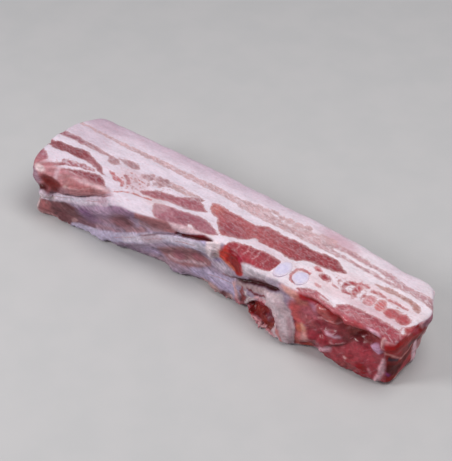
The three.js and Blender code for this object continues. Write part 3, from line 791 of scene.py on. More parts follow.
def even_skin():
    """The slab as one closed skin of small even faces, with the holes of the cartilages filled."""
    mesh = bpy.data.meshes.new("belly_strip")
    whole = bmesh.new()
    for node, grow, ceiling in (("belly_slab", 0.0, 99.0), ("rib_cartilage_1", 0.9, TOP - 0.8),
                                ("rib_cartilage_2", 0.9, TOP - 0.8)):
        shell = merged_copy(node, grow, ceiling)
        part = bpy.data.meshes.new("part")
        shell.to_mesh(part)
        shell.free()
        whole.from_mesh(part)
        bpy.data.meshes.remove(part)
    whole.to_mesh(mesh)
    whole.free()
    strip = add_object("belly_strip", mesh)
    remesh = strip.modifiers.new("even", "REMESH")
    remesh.mode = "VOXEL"
    remesh.voxel_size = VOXEL * MM
    return applied(strip)


def edge_pairs(mesh):
    pairs = np.empty(len(mesh.edges) * 2, np.int32)
    mesh.edges.foreach_get("vertices", pairs)
    return pairs.reshape(-1, 2)


def smoothed(co, pairs, steps):
    """Rounds facets off by moving each vertex towards the mean of its neighbours."""
    count = np.bincount(pairs.ravel(), minlength=len(co))[:, None]
    for _ in range(steps):
        total = np.stack([
            np.bincount(pairs[:, 0], co[pairs[:, 1], axis], len(co))
            + np.bincount(pairs[:, 1], co[pairs[:, 0], axis], len(co)) for axis in range(3)], axis=1)
        co = co + 0.5 * (total / count - co)
    return co


def read_points(mesh):
    co = np.empty(len(mesh.vertices) * 3, np.float32)
    mesh.vertices.foreach_get("co", co)
    return co.reshape(-1, 3).astype(float) / MM


def write_points(mesh, co):
    mesh.vertices.foreach_set("co", (co * MM).astype(np.float32).ravel())
    mesh.update()


def read_normals(mesh):
    normals = np.empty(len(mesh.vertices) * 3, np.float32)
    mesh.vertices.foreach_get("normal", normals)
    return normals.reshape(-1, 3).astype(float)


def put_value(mesh, name, values):
    mesh.attributes.new(name, "FLOAT", "POINT").data.foreach_set("value", values.astype(np.float32))


def put_colour(mesh, name, colours):
    rgba = np.concatenate([colours, np.ones((len(colours), 1))], axis=1).astype(np.float32)
    mesh.attributes.new(name, "FLOAT_COLOR", "POINT").data.foreach_set("color", rgba.ravel())


def on_plane(co, axis, value):
    """Where the slanting line through each point meets the plane on which that axis has that value."""
    return co + SLANT * ((value - co[:, axis]) / SLANT[axis])[:, None]


def fat_colours(x, y):
    # painted light: brighter towards the right end; painted shade along the rind on the left, over the fat's
    # lilac tint there
    towards_rind = smooth(26, 42, y)
    towards_right = smooth(-60, 110, x)
    fat = FAT + (FAT_LIT_RIGHT - FAT) * towards_right[:, None]
    fat = fat + (FAT_TINT_AND_SHADE_BY_RIND - fat) * (towards_rind * (1 - 0.6 * towards_right))[:, None]
    for centre, radii, turn, tint, strength in FAT_TINTS:
        paint(fat, blob(x, y, centre, radii, turn), rgb(*tint), FAT_TINT_SOFT, strength)
    return fat


def roughened(place, along, up):
    """Two layout coordinates, wandering a little so that painted borders aren't ruled lines."""
    along = along + 0.9 * lumps(place, 6, 21) + 0.5 * lumps(place, 2.4, 22)
    up = up + 0.9 * lumps(place, 6, 23) + 0.5 * lumps(place, 2.4, 24)
    torn = smooth(-8, 4, blob(along, up, (54, 10), (22, 24)))
    flowing = smooth(84, 94, along) * smooth(0.2, 0.6, -place[:, 1] / 40)
    drift = 1.3 * lumps(place, 3.4, 33) + 0.9 * lumps(place, 1.6, 34)
    along = along + torn * drift + flowing * 1.8 * lumps(place, 8, 35)
    drift = 1.5 * lumps(place, 3.4, 36) + 0.9 * lumps(place, 1.6, 37)
    up = up + torn * drift + flowing * 1.8 * lumps(place, 8, 38)
    return along, up


# how far the lower edge of the bone side moves along Y, by place along the strip
FOOT = [(-200, 0), (-120, 0.5), (-104, 1.5), (-60, 0), (-44, 0), (-28, -4), (-14, -2), (-2, 0), (10, -4),
        (30, -4), (37, 1), (43, 3), (50, 1), (60, 0), (68, 1), (79, 1), (87, 2), (95, 4), (103, 8),
        (111, 10), (119, 6), (127, 3), (135, 0.5), (152, -1.5), (200, -3)]
FAR_TOP = [(-60, 5), (-14, 5.2), (-9, 4.6), (-6, 2.2), (-1, 3.6), (6, 3), (12, 2), (24, 2), (36, 0),
           (60, 0)]


def reshaped(co):
    """The skin with its lower edge, rind edge and ends a little fuller or hollower than the solid's."""
    x, y, z = co.T
    side_z = on_plane(co - [LAYOUT_ZERO, 0, 0], 1, BONE_PLANE)[:, 2]
    far = smooth(-146, -172, x)
    near = smooth(140, 168, x)
    moved = co.copy()
    moved[:, 1] += curve(x, FOOT) * smooth(19, 5, z) * smooth(-12, -24, y)
    moved[:, 1] += 2.2 * smooth(16, 42, y) * smooth(6, 40, z)
    moved[:, 1] += near * 4.8 * smooth(14, 34, y) * smooth(30, 46, z)
    moved[:, 0] -= far * curve(y, FAR_TOP) * smooth(28, 46, z)
    moved[:, 0] += far * 6.5 * np.exp(-((side_z - 22.5) / 6.5) ** 2) * smooth(-14, -30, y)
    moved[:, 0] += near * 3.0 * smooth(30, 46, z) * smooth(-6, 4, y) * smooth(20, 8, y)
    moved[:, 0] -= near * 3.2 * smooth(12, 26, y) * smooth(10, 24, z) * (1 - 0.8 * smooth(38, 46, z))
    moved[:, 0] += near * 2.5 * smooth(12, 2, z) * smooth(-8, 4, y)
    return moved


FAR_FACE = -173  # the layers that reach the far cut face run down it as they are here


def build_strip():
    strip = even_skin()
    mesh = strip.data
    co = reshaped(smoothed(read_points(mesh), edge_pairs(mesh), SMOOTHING_STEPS))
    write_points(mesh, co)
    normal = read_normals(mesh)

    place = co - [LAYOUT_ZERO, 0, 0]
    top_place = on_plane(place, 2, TOP)
    side_x, side_z = on_plane(place, 1, BONE_PLANE)[:, [0, 2]].T
    end_y, end_z = on_plane(place, 0, END_PLANE)[:, 1:].T

    # which face a vertex belongs to, 0 to 1
    past = place[:, 0] - NEAR_CORNER + CORNER_LEAN * place[:, 2]
    bone_side = smooth(0.3, 0.62, -normal[:, 1]) * smooth(1.5, -1.5, past)
    upper = smooth(0.35, 0.7, normal[:, 2]) * smooth(24, 38, co[:, 2])
    past_corner = smooth(-1.5, 1.5, past) * (1 - upper) * smooth(0.6, 0.3, normal[:, 1])
    near_end = np.maximum(smooth(0.45, 0.7, normal[:, 0]) * smooth(150, 160, place[:, 0]), past_corner)
    rind = smooth(0.45, 0.8, normal[:, 1]) * smooth(49, 46, co[:, 2]) * (1 - near_end)

    # inside the slab the layers lean with the cartilages and follow the rind
    deep = 1 - np.clip(co[:, 2] / TOP, 0, 1)
    inset = 8 + 10 * smooth(60, 175, place[:, 0])
    follow = smooth(-30, 30, place[:, 1])
    deep_x = np.maximum(place[:, 0] - 12.5 * deep, FAR_FACE)
    deep_y = place[:, 1] + 5.5 * deep * (1 - follow) + inset * deep ** 1.3 * follow
    wander = 3.0 * deep * lumps(place, (40, 30, 30), 8)
    layer_x = deep_x + (top_place[:, 0] - deep_x) * upper
    layer_y = deep_y + wander + (top_place[:, 1] - deep_y - wander) * upper
    layer_x = layer_x + 0.7 * lumps(place, 5, 25)
    layer_y = layer_y + 0.5 * lumps(place, (7, 5, 7), 26) + 0.3 * lumps(place, 2.4, 27)

    depth, lean, walls, flecks = layers(layer_x, layer_y)
    mottling = 1 + 0.10 * lumps(place, (9, 4, 9), 28) + 0.08 * lumps(place, (3.4, 2.2, 3.4), 29)
    lean = lean * mottling[:, None]
    for centre, radii, turn, tint, strength in LEAN_TINTS:
        paint(lean, blob(layer_x, layer_y, centre, radii, turn), rgb(*tint), LEAN_TINT_SOFT, strength)
    for points, strength in FINE_SEAMS:
        seam = line(layer_x, layer_y, points, FINE_SEAM_WIDTH)
        paint(lean, seam, FINE_SEAM, FINE_SEAM_WIDTH, strength)
    put_value(mesh, "lean_depth", np.clip(depth, -6, 6))
    put_value(mesh, "walls", walls)
    put_value(mesh, "flecks", flecks)
    put_colour(mesh, "lean_colour", lean)
    put_colour(mesh, "fat_colour", fat_colours(layer_x, layer_y))

    side = bone_side_colours(*roughened(place, side_x, side_z))
    end = near_end_colours(*roughened(place, end_y, end_z))
    painted = side + (end - side) * near_end[:, None]
    painted = painted * (1 + 0.14 * lumps(place, (5, 5, 2.6), 30) + 0.10 * lumps(place, 2.2, 31))[:, None]
    veil = (SIDE_VEIL + 0.014 * near_end)[:, None]
    put_colour(mesh, "side_colour", np.maximum((painted - veil) / SIDE_GAIN, 0.15 * painted))
    put_value(mesh, "side_cover", np.maximum(bone_side, near_end))
    put_value(mesh, "rind_cover", rind)
    film = bone_side * smooth(36, 26, side_x) * smooth(2, -2, side_z - curve(side_x, FOLD_LINE))
    on_rib = np.maximum(smooth(-1, 2, line(side_x, side_z, RIB_1, 9)),
                        smooth(-1, 2, line(side_x, side_z, RIB_2, 9)))
    put_value(mesh, "fibres", film * (1 - 0.75 * on_rib))
    roll = bone_side * smooth(-84, -100, side_x) * smooth(-1, 2, side_z - curve(side_x, FOLD_LINE))
    roll *= smooth(1, -3, blob(side_x, side_z, (-157, 34), (14, 8.5), 6))
    put_value(mesh, "stripes", roll)
    # where the deep lean below its lip gets painted sheen streaks, with painted shade between them
    sheen = bone_side * smooth(88, 100, side_x) * smooth(1, -2, side_z - curve(side_x, UNDER_LIP))
    put_value(mesh, "sheen", sheen)
    wet = np.maximum(0.5 * smooth(84, 96, side_x),
                     0.1 * smooth(-2, 3, blob(side_x, side_z, (30, 50), (12, 13))))
    put_value(mesh, "wetness", np.maximum(bone_side * (0.14 + wet), 0.06 * near_end))

    relief = bone_side * grooves_and_ridges(side_x, side_z, place)
    off_ground = smooth(0.5, 4, co[:, 2])
    cut_face = upper * (0.3 * smooth(1.0, -1.0, depth) + 0.3 * lumps(place, 7, 9)
                        + 0.16 * lumps(place, 2.4, 10))
    ragged = (1 - upper) * (0.5 * lumps(place, 9, 11) + 0.25 * lumps(place, 3, 12)) * (1 - 0.7 * rind)
    flat = place * [1, 0, 1]  # so that the lower edge keeps its bumps wherever it's moved to
    low_edge = bone_side * smooth(12, 3, co[:, 2]) * (
        1.0 * lumps(flat, (7, 9, 9), 13) + 0.7 * lumps(flat, 3, 14) + 0.4 * lumps(flat, 1.8, 20))
    tall_edge = smooth(140, 172, np.abs(place[:, 0])) * (1 - upper) * (1 - rind)
    tall_edge = tall_edge * 1.1 * lumps(place, (9, 9, 6), 15)
    inner = (relief + ragged + tall_edge) * off_ground + low_edge * smooth(0.2, 1.5, co[:, 2])
    write_points(mesh, co + normal * (inner + cut_face)[:, None])
    mesh.shade_smooth()
    return strip


# ---------------------------------------------------------------- node helpers

def add(tree, kind, inputs=None, **settings):
    """A node with its settings, and with each named input set to a value or joined to a socket."""
    made = tree.nodes.new(kind)
    for name, value in settings.items():
        setattr(made, name, value)
    for name, value in (inputs or {}).items():
        if isinstance(value, bpy.types.NodeSocket):
            tree.links.new(value, made.inputs[name])
        else:
            made.inputs[name].default_value = value
    return made


def maths(tree, operation, a, b=0.0, c=0.0, clamp=False):
    node = add(tree, "ShaderNodeMath", {0: a, 1: b, 2: c}, operation=operation)
    node.use_clamp = clamp
    return node.outputs[0]


def span(tree, value, low, high, to_low=0.0, to_high=1.0):
    """Maps low to high onto to_low to to_high, smoothly and clamped."""
    node = add(tree, "ShaderNodeMapRange", {"Value": value, "From Min": low, "From Max": high,
                                            "To Min": to_low, "To Max": to_high},
               interpolation_type="SMOOTHSTEP")
    return node.outputs["Result"]


def blend_colour(tree, share, a, b, mode="MIX"):
    node = add(tree, "ShaderNodeMix", data_type="RGBA", blend_type=mode)
    for socket, value in (("Factor_Float", share), ("A_Color", a), ("B_Color", b)):
        target = next(i for i in node.inputs if i.identifier == socket)
        if isinstance(value, bpy.types.NodeSocket):
            tree.links.new(value, target)
        else:
            target.default_value = value
    return next(o for o in node.outputs if o.identifier == "Result_Color")


def blend_value(tree, share, a, b):
    return add(tree, "ShaderNodeMix", {"Factor": share, "A": a, "B": b}).outputs[0]


def group(name, inputs, outputs):
    """An empty shader group with typed sockets, its input node and its output node."""
    tree = bpy.data.node_groups.new(name, "ShaderNodeTree")
    for label, kind, value in inputs:
        socket = tree.interface.new_socket(label, in_out="INPUT", socket_type=f"NodeSocket{kind}")
        if value is not None:
            socket.default_value = value
    for label, kind in outputs:
        tree.interface.new_socket(label, in_out="OUTPUT", socket_type=f"NodeSocket{kind}")
    return tree, tree.nodes.new("NodeGroupInput").outputs, tree.nodes.new("NodeGroupOutput").inputs


def place_group(tree, made, **values):
    node = tree.nodes.new("ShaderNodeGroup")
    node.node_tree = made
    for label, value in values.items():
        socket = node.inputs[label.replace("_", " ")]
        if isinstance(value, bpy.types.NodeSocket):
            tree.links.new(value, socket)
        else:
            socket.default_value = value
    return node.outputs


def scaled_place(tree, place, stretch, turn=(0, 0, 0)):
    """Object coordinates in units of a stretch in mm along each axis of a frame turned by some degrees."""
    values = {"Vector": place, "Scale": [s * MM for s in stretch],
              "Rotation": [math.radians(t) for t in turn]}
    return add(tree, "ShaderNodeMapping", values, vector_type="TEXTURE").outputs["Vector"]


def noise(tree, place, stretch, detail=3.0, roughness=0.55, turn=(0, 0, 0)):
    values = {"Vector": scaled_place(tree, place, stretch, turn), "Scale": 1.0, "Detail": detail,
              "Roughness": roughness}
    return add(tree, "ShaderNodeTexNoise", values).outputs["Fac"]


def toned(tree, colour, shade):
    return add(tree, "ShaderNodeVectorMath", {0: colour, 3: shade}, operation="SCALE").outputs[0]


# ---------------------------------------------------------------- shader groups

def edge_group():
    """Turns a depth in mm into a crisp, slightly ragged border."""
    tree, given, out = group("ragged_edge", [("Place", "Vector", None), ("Depth", "Float", 0.0),
                                             ("Ragged", "Float", 1.0), ("Scallop", "Float", 0.0),
                                             ("Softness", "Float", 0.3)],
                             [("Mask", "Float"), ("Depth", "Float")])
    broad = maths(tree, "SUBTRACT", noise(tree, given["Place"], (4, 2.4, 4), 2.0), 0.5)
    fine = maths(tree, "SUBTRACT", noise(tree, given["Place"], (1.1, 0.8, 1.1), 3.0), 0.5)
    wobble = maths(tree, "MULTIPLY_ADD", broad, 2.4, maths(tree, "MULTIPLY", fine, 2.6))
    lobes = add(tree, "ShaderNodeTexVoronoi",
                {"Vector": scaled_place(tree, given["Place"], (4.6, 3.2, 4.6)),
                                               "Scale": 1.0}, feature="F1")
    bulge = maths(tree, "MULTIPLY_ADD", lobes.outputs["Distance"], -1.7, 0.95)
    wobble = maths(tree, "MULTIPLY_ADD", bulge, given["Scallop"], wobble)
    depth = maths(tree, "MULTIPLY_ADD", wobble, given["Ragged"], given["Depth"])
    share = maths(tree, "DIVIDE", depth, given["Softness"])
    tree.links.new(span(tree, share, -1.0, 1.0), out["Mask"])
    tree.links.new(depth, out["Depth"])
    return tree


def muscle_group():
    """Grain of cut muscle: bundles parted by thin white walls, mottled colour and paler, fattier borders."""
    tree, given, out = group("muscle_grain", [("Place", "Vector", None), ("Colour", "Color", None),
                                              ("Fat", "Color", None), ("Walls", "Float", 0.2),
                                              ("Depth", "Float", 2.0)],
                             [("Colour", "Color"), ("Height", "Float")])
    broad = noise(tree, given["Place"], (12, 4.5, 12), 3.0)
    grain = noise(tree, given["Place"], (2.6, 0.9, 2.6), 4.0, 0.7, (0, 0, -8))
    specks = noise(tree, given["Place"], (0.9, 0.6, 0.9), 2.0, 0.6)
    darker = toned(tree, given["Colour"], 0.72)
    colour = blend_colour(tree, span(tree, broad, 0.42, 0.68, 0.0, 0.55), given["Colour"], darker)
    shade = maths(tree, "ADD", span(tree, grain, 0.28, 0.72, -0.24, 0.24),
                  span(tree, specks, 0.3, 0.7, 0.90, 1.10))
    colour = toned(tree, colour, shade)

    # walls between the bundles
    wander = maths(tree, "SUBTRACT", noise(tree, given["Place"], (3, 3, 3), 2.0), 0.5)
    straight = scaled_place(tree, given["Place"], (7.5, 2.9, 7.5), (0, 0, -24))
    push = toned(tree, (1.0, 1.0, 0.0), wander)
    bent = add(tree, "ShaderNodeVectorMath", {0: straight, 1: push}, operation="ADD").outputs[0]
    cells = add(tree, "ShaderNodeTexVoronoi", {"Vector": bent, "Scale": 1.0}, feature="DISTANCE_TO_EDGE")
    wall = span(tree, cells.outputs["Distance"], 0.02, 0.22, 1.0, 0.0)
    broken = span(tree, noise(tree, given["Place"], (5, 3, 5), 2.0), 0.36, 0.6)
    wall = maths(tree, "MULTIPLY", maths(tree, "MULTIPLY", wall, broken), given["Walls"], clamp=True)
    colour = blend_colour(tree, wall, colour, given["Fat"])
    marbling = span(tree, noise(tree, given["Place"], (2.2, 0.8, 2.2), 3.0, 0.7, (0, 0, -14)), 0.57, 0.74,
                    0.0, 0.42)
    colour = blend_colour(tree, marbling, colour, given["Fat"])

    rim = span(tree, given["Depth"], 0.2, 2.2, 0.42, 0.0)
    tree.links.new(blend_colour(tree, rim, colour,
                                blend_colour(tree, 0.5, given["Fat"], (0.55, 0.27, 0.22, 1))),
                   out["Colour"])
    tree.links.new(maths(tree, "MULTIPLY_ADD", wall, 0.5, grain), out["Height"])
    return tree


def fat_group():
    """Firm fat: faint lobules, a few pink veins, loose flecks of lean and a soft relief."""
    tree, given, out = group("firm_fat", [("Place", "Vector", None), ("Colour", "Color", None),
                                          ("Veins", "Float", 0.3), ("Flecks", "Float", 0.0)],
                             [("Colour", "Color"), ("Height", "Float")])
    broad = noise(tree, given["Place"], (16, 6, 16), 2.0)
    small = noise(tree, given["Place"], (2.4, 1.5, 2.4), 4.0, 0.65)
    shade = maths(tree, "ADD", span(tree, broad, 0.3, 0.7, -0.07, 0.07),
                  span(tree, small, 0.3, 0.7, 0.93, 1.07))
    colour = toned(tree, given["Colour"], shade)
    veins = span(tree, noise(tree, given["Place"], (6, 1.3, 4), 3.0, 0.6, (0, 0, -6)), 0.56, 0.72)
    colour = blend_colour(tree, maths(tree, "MULTIPLY", veins, given["Veins"]), colour,
                          (0.50, 0.23, 0.26, 1))
    scraps = span(tree, noise(tree, given["Place"], (2.8, 1.9, 2.8), 3.0, 0.6), 0.53, 0.66)
    colour = blend_colour(tree, maths(tree, "MULTIPLY", scraps, given["Flecks"]), colour,
                          (0.47, 0.17, 0.15, 1))
    tree.links.new(colour, out["Colour"])
    tree.links.new(small, out["Height"])
    return tree


def membrane_group():
    """Film over the bone side: fibres that run down across the ribs, and clots of darker meat behind them;
    where Sheen is set, painted sheen in pale streaks with painted shade between them.
    """
    tree, given, out = group("membrane_film", [("Place", "Vector", None), ("Colour", "Color", None),
                                               ("Fibres", "Float", 1.0), ("Stripes", "Float", 0.0),
                                               ("Sheen", "Float", 0.0)],
                             [("Colour", "Color"), ("Height", "Float")])
    strands = noise(tree, given["Place"], (17, 60, 1.1), 3.0, 0.6, (0, 17, 0))
    along = noise(tree, given["Place"], (20, 40, 1.8), 3.0, 0.6, (0, -12, 0))
    flow = noise(tree, given["Place"], (9, 30, 2.6), 3.0, 0.6, (0, -38, 0))
    patches = noise(tree, given["Place"], (2.6, 2.6, 2.0), 4.0, 0.65)
    threads = maths(tree, "MULTIPLY", span(tree, strands, 0.32, 0.68, -0.26, 0.26), given["Fibres"])
    shade = maths(tree, "ADD", threads, span(tree, patches, 0.3, 0.7, 0.82, 1.18))
    bands = maths(tree, "MULTIPLY_ADD", given["Stripes"], 0.16, 0.04)
    shade = maths(tree, "MULTIPLY_ADD", span(tree, along, 0.3, 0.7, -1.0, 1.0), bands, shade)
    colour = toned(tree, given["Colour"], shade)
    pale = maths(tree, "MULTIPLY", span(tree, along, 0.52, 0.72, 0.0, 0.34), given["Stripes"])
    colour = blend_colour(tree, pale, colour, (0.52, 0.33, 0.34, 1))
    # painted sheen: pale streaks along the flow, and painted shade in the gaps between them
    painted_sheen = maths(tree, "MULTIPLY", span(tree, flow, 0.56, 0.76, 0.0, 0.42), given["Sheen"])
    colour = blend_colour(tree, painted_sheen, colour, (0.50, 0.22, 0.27, 1))
    dark = maths(tree, "MULTIPLY", span(tree, flow, 0.26, 0.44, 0.35, 0.0), given["Sheen"])
    tree.links.new(blend_colour(tree, dark, colour, (0.12, 0.02, 0.025, 1)), out["Colour"])
    height = maths(tree, "MULTIPLY_ADD", strands, given["Fibres"], maths(tree, "MULTIPLY", patches, 0.6))
    height = maths(tree, "MULTIPLY_ADD", flow, given["Sheen"], height)
    tree.links.new(height, out["Height"])
    return tree


def gloss_group():
    """Moist gloss in patches: a roughness and a coat that come and go."""
    tree, given, out = group("moist_gloss", [("Place", "Vector", None), ("Wet", "Float", 0.5),
                                             ("Rough", "Float", 0.45)],
                             [("Roughness", "Float"), ("Coat", "Float")])
    patches = noise(tree, given["Place"], (7, 7, 4), 3.0)
    wet = maths(tree, "MULTIPLY", span(tree, patches, 0.35, 0.62, 0.25, 1.0), given["Wet"])
    tree.links.new(maths(tree, "MULTIPLY_ADD", wet, -0.22, given["Rough"], clamp=True), out["Roughness"])
    tree.links.new(wet, out["Coat"])
    return tree


# ---------------------------------------------------------------- materials

def new_material(name):
    material = bpy.data.materials.new(name)
    material.use_nodes = True
    tree = material.node_tree
    tree.nodes.clear()
    shader = tree.nodes.new("ShaderNodeBsdfPrincipled")
    output = tree.nodes.new("ShaderNodeOutputMaterial")
    tree.links.new(shader.outputs["BSDF"], output.inputs["Surface"])
    place = tree.nodes.new("ShaderNodeTexCoord").outputs["Object"]
    return material, tree, shader, place


def attribute(tree, name, output):
    node = add(tree, "ShaderNodeAttribute", attribute_name=name)
    return node.outputs[output]


def meat_material(groups):
    material, tree, shader, place = new_material("raw_pork_belly")
    fat_base = attribute(tree, "fat_colour", "Color")
    edge = place_group(tree, groups["edge"], Place=place, Depth=attribute(tree, "lean_depth", "Fac"),
                       Ragged=1.0, Scallop=attribute(tree, "walls", "Fac"), Softness=0.5)
    is_lean = edge["Mask"]
    fat = place_group(tree, groups["fat"], Place=place, Colour=fat_base, Veins=0.3,
                      Flecks=attribute(tree, "flecks", "Fac"))
    lean = place_group(tree, groups["muscle"], Place=place, Colour=attribute(tree, "lean_colour", "Color"),
                       Fat=fat_base, Walls=attribute(tree, "walls", "Fac"), Depth=edge["Depth"])
    film = place_group(tree, groups["membrane"], Place=place,
                       Colour=attribute(tree, "side_colour", "Color"),
                       Fibres=attribute(tree, "fibres", "Fac"), Stripes=attribute(tree, "stripes", "Fac"),
                       Sheen=attribute(tree, "sheen", "Fac"))
    side = attribute(tree, "side_cover", "Fac")
    rind = attribute(tree, "rind_cover", "Fac")

    cut_colour = blend_colour(tree, is_lean, fat["Colour"], lean["Colour"])
    with_side = blend_colour(tree, side, cut_colour, film["Colour"])
    pores = noise(tree, place, (0.9, 0.9, 0.9), 2.0)
    mottle = noise(tree, place, (22, 14, 9), 4.0, 0.6)
    skin = blend_colour(tree, span(tree, mottle, 0.35, 0.65), (*RIND, 1), (*RIND_WARM, 1))
    skin = toned(tree, skin, span(tree, pores, 0.3, 0.7, 0.9, 1.06))
    tree.links.new(blend_colour(tree, rind, with_side, skin), shader.inputs["Base Color"])

    wet = maths(tree, "ADD", attribute(tree, "wetness", "Fac"), maths(tree, "MULTIPLY", is_lean, 0.1),
                clamp=True)
    gloss = place_group(tree, groups["gloss"], Place=place, Wet=wet, Rough=0.5)
    tree.links.new(gloss["Roughness"], shader.inputs["Roughness"])
    tree.links.new(gloss["Coat"], shader.inputs["Coat Weight"])
    cut_height = blend_value(tree, is_lean, fat["Height"], lean["Height"])
    height = blend_value(tree, rind, blend_value(tree, side, cut_height, film["Height"]), pores)
    bump = add(tree, "ShaderNodeBump", {"Height": height, "Strength": 0.5, "Distance": 0.0008})
    tree.links.new(bump.outputs["Normal"], shader.inputs["Normal"])
    shader.inputs["Subsurface Weight"].default_value = 0.08
    shader.inputs["Subsurface Radius"].default_value = (1.0, 0.45, 0.4)
    shader.inputs["Subsurface Scale"].default_value = 0.0015
    shader.inputs["Coat Roughness"].default_value = 0.2
    shader.inputs["Coat IOR"].default_value = 1.35
    shader.inputs["Specular IOR Level"].default_value = 0.22
    return material


def cartilage_material(groups):
    material, tree, shader, place = new_material("wet_cartilage")
    cloud = noise(tree, place, (3, 3, 6), 3.0)
    rim = attribute(tree, "rim", "Fac")
    clouded = blend_colour(tree, span(tree, cloud, 0.35, 0.7, 0.0, 0.6), (*CARTILAGE, 1),
                           (*CARTILAGE_GREY, 1))
    tree.links.new(blend_colour(tree, rim, clouded, (*CARTILAGE_RIM, 1)), shader.inputs["Base Color"])
    gloss = place_group(tree, groups["gloss"], Place=place, Wet=0.8, Rough=0.34)
    tree.links.new(gloss["Roughness"], shader.inputs["Roughness"])
    tree.links.new(gloss["Coat"], shader.inputs["Coat Weight"])
    bump = add(tree, "ShaderNodeBump", {"Height": cloud, "Strength": 0.3, "Distance": 0.0008})
    tree.links.new(bump.outputs["Normal"], shader.inputs["Normal"])
    shader.inputs["Subsurface Weight"].default_value = 0.15
    shader.inputs["Subsurface Radius"].default_value = (0.8, 0.7, 1.0)
    shader.inputs["Subsurface Scale"].default_value = 0.002
    shader.inputs["Coat Roughness"].default_value = 0.08
    return material


def floor_material():
    material, tree, shader, place = new_material("pale_floor")
    speck = noise(tree, place, (40, 40, 40), 2.0)
    colour = blend_colour(tree, span(tree, speck, 0.3, 0.7), (0.52, 0.515, 0.52, 1), (0.54, 0.53, 0.535, 1))
    tree.links.new(colour, shader.inputs["Base Color"])
    shader.inputs["Roughness"].default_value = 0.7
    return material


# ---------------------------------------------------------------- cartilages

CARTILAGE_SIDES = 72
CARTILAGE_RINGS = 40


def build_cartilage(node, name, seed):
    """A slightly uneven oval rod in place of the plain one, with softly domed cut ends."""
    low, high = (np.array(corner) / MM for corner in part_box(node))
    points = read_points(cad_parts[node].data)
    upper = points[points[:, 2] > high[2] - 1]
    lower = points[points[:, 2] < low[2] + 1]
    top_middle, foot_middle = (upper.max(0) + upper.min(0)) / 2, (lower.max(0) + lower.min(0)) / 2
    top_reach, foot_reach = np.ptp(upper, 0) / 2, np.ptp(lower, 0) / 2
    angle = np.arange(CARTILAGE_SIDES) * 2 * math.pi / CARTILAGE_SIDES
    dome = 14  # rings over each rounded end
    rings = []
    for ring in range(CARTILAGE_RINGS + 2 * dome - 1):
        share = np.clip((ring - dome) / (CARTILAGE_RINGS - 2), 0, 1)
        end = 0.0
        if ring < dome:
            end = 1 - (ring + 0.5) / dome
        elif ring > dome + CARTILAGE_RINGS - 2:
            end = (ring - dome - CARTILAGE_RINGS + 1.5) / dome
        across = math.cos(min(end, 0.97) * math.pi / 2) ** 0.55
        lift = 0.5 * end ** 0.6 * (1 if share > 0.5 else -1)
        middle = foot_middle + (top_middle - foot_middle) * share
        reach = (foot_reach + (top_reach - foot_reach) * share) * 1.05
        uneven = 1 + 0.05 * np.sin(2 * angle + seed) + 0.035 * np.sin(3 * angle + 2.1 * seed)
        uneven = uneven + 0.02 * np.sin(5 * angle + seed)
        x = middle[0] + np.cos(angle) * reach[0] * uneven * across
        y = middle[1] + np.sin(angle) * reach[1] * uneven * across
        z = low[2] + 0.5 + (high[2] - low[2] - 0.6) * share + lift + 0 * angle
        rings.append(np.stack([x, y, z], axis=1))
    count = len(rings)
    co = np.concatenate([*rings, [rings[0].mean(0)], [rings[-1].mean(0)]])
    faces = []
    for ring in range(count - 1):
        for side in range(CARTILAGE_SIDES):
            a, b = ring * CARTILAGE_SIDES + side, ring * CARTILAGE_SIDES + (side + 1) % CARTILAGE_SIDES
            faces.append((a, b, b + CARTILAGE_SIDES, a + CARTILAGE_SIDES))
    for side in range(CARTILAGE_SIDES):
        after, last = (side + 1) % CARTILAGE_SIDES, (count - 1) * CARTILAGE_SIDES
        faces.append((len(co) - 2, after, side))
        faces.append((len(co) - 1, last + side, last + after))
    mesh = bpy.data.meshes.new(name)
    mesh.from_pydata((co * MM).tolist(), [], faces)
    mesh.validate()
    rim = np.concatenate([np.full(CARTILAGE_SIDES, smooth(9, 2, abs(r - dome)) + smooth(
        9, 2, abs(r - dome - CARTILAGE_RINGS))) for r in range(count)] + [[0, 0]])
    put_value(mesh, "rim", np.clip(rim, 0, 1) * 0.8)
    mesh.shade_smooth()
    return add_object(name, mesh)


# ---------------------------------------------------------------- strands and tags, grown by geometry nodes

STRANDS = (  # pale threads that stand out of the bone side: layout (x, z) points, half width in mm
    ([(108, 35.6), (113, 36.6), (118, 38.4), (125, 41.8)], 0.16),
    ([(119, 17.6), (124, 20), (128, 22), (131, 25.4)], 0.16),
    ([(42.6, 13), (44.6, 18.6), (48.6, 22.4), (54, 24.6)], 0.5), ([(68.4, 16), (69.4, 10), (70.6, 3)], 0.4),
    ([(-166, 17), (-150, 23), (-136, 28)], 0.25), ([(-128, 30), (-114, 36.4), (-102, 42)], 0.25),
    ([(-92, 9), (-80, 15.6), (-68, 22)], 0.27), ([(-58, 25), (-46, 32), (-36, 37.4)], 0.25),
    ([(-28, 39.4), (-18, 43), (-6, 45.6)], 0.28), ([(-36, 19), (-24, 20), (-12, 26)], 0.25),
    ([(4, 22), (16, 24.6), (28, 25)], 0.25),
)
# loose tags of fat along the lower edge: first and last layout x, how many, size in mm, how far they scatter
TAGS = (
    (4, 30, 8, 1.6, 0.8), (43, 68, 12, 2.2, 0.9),
)


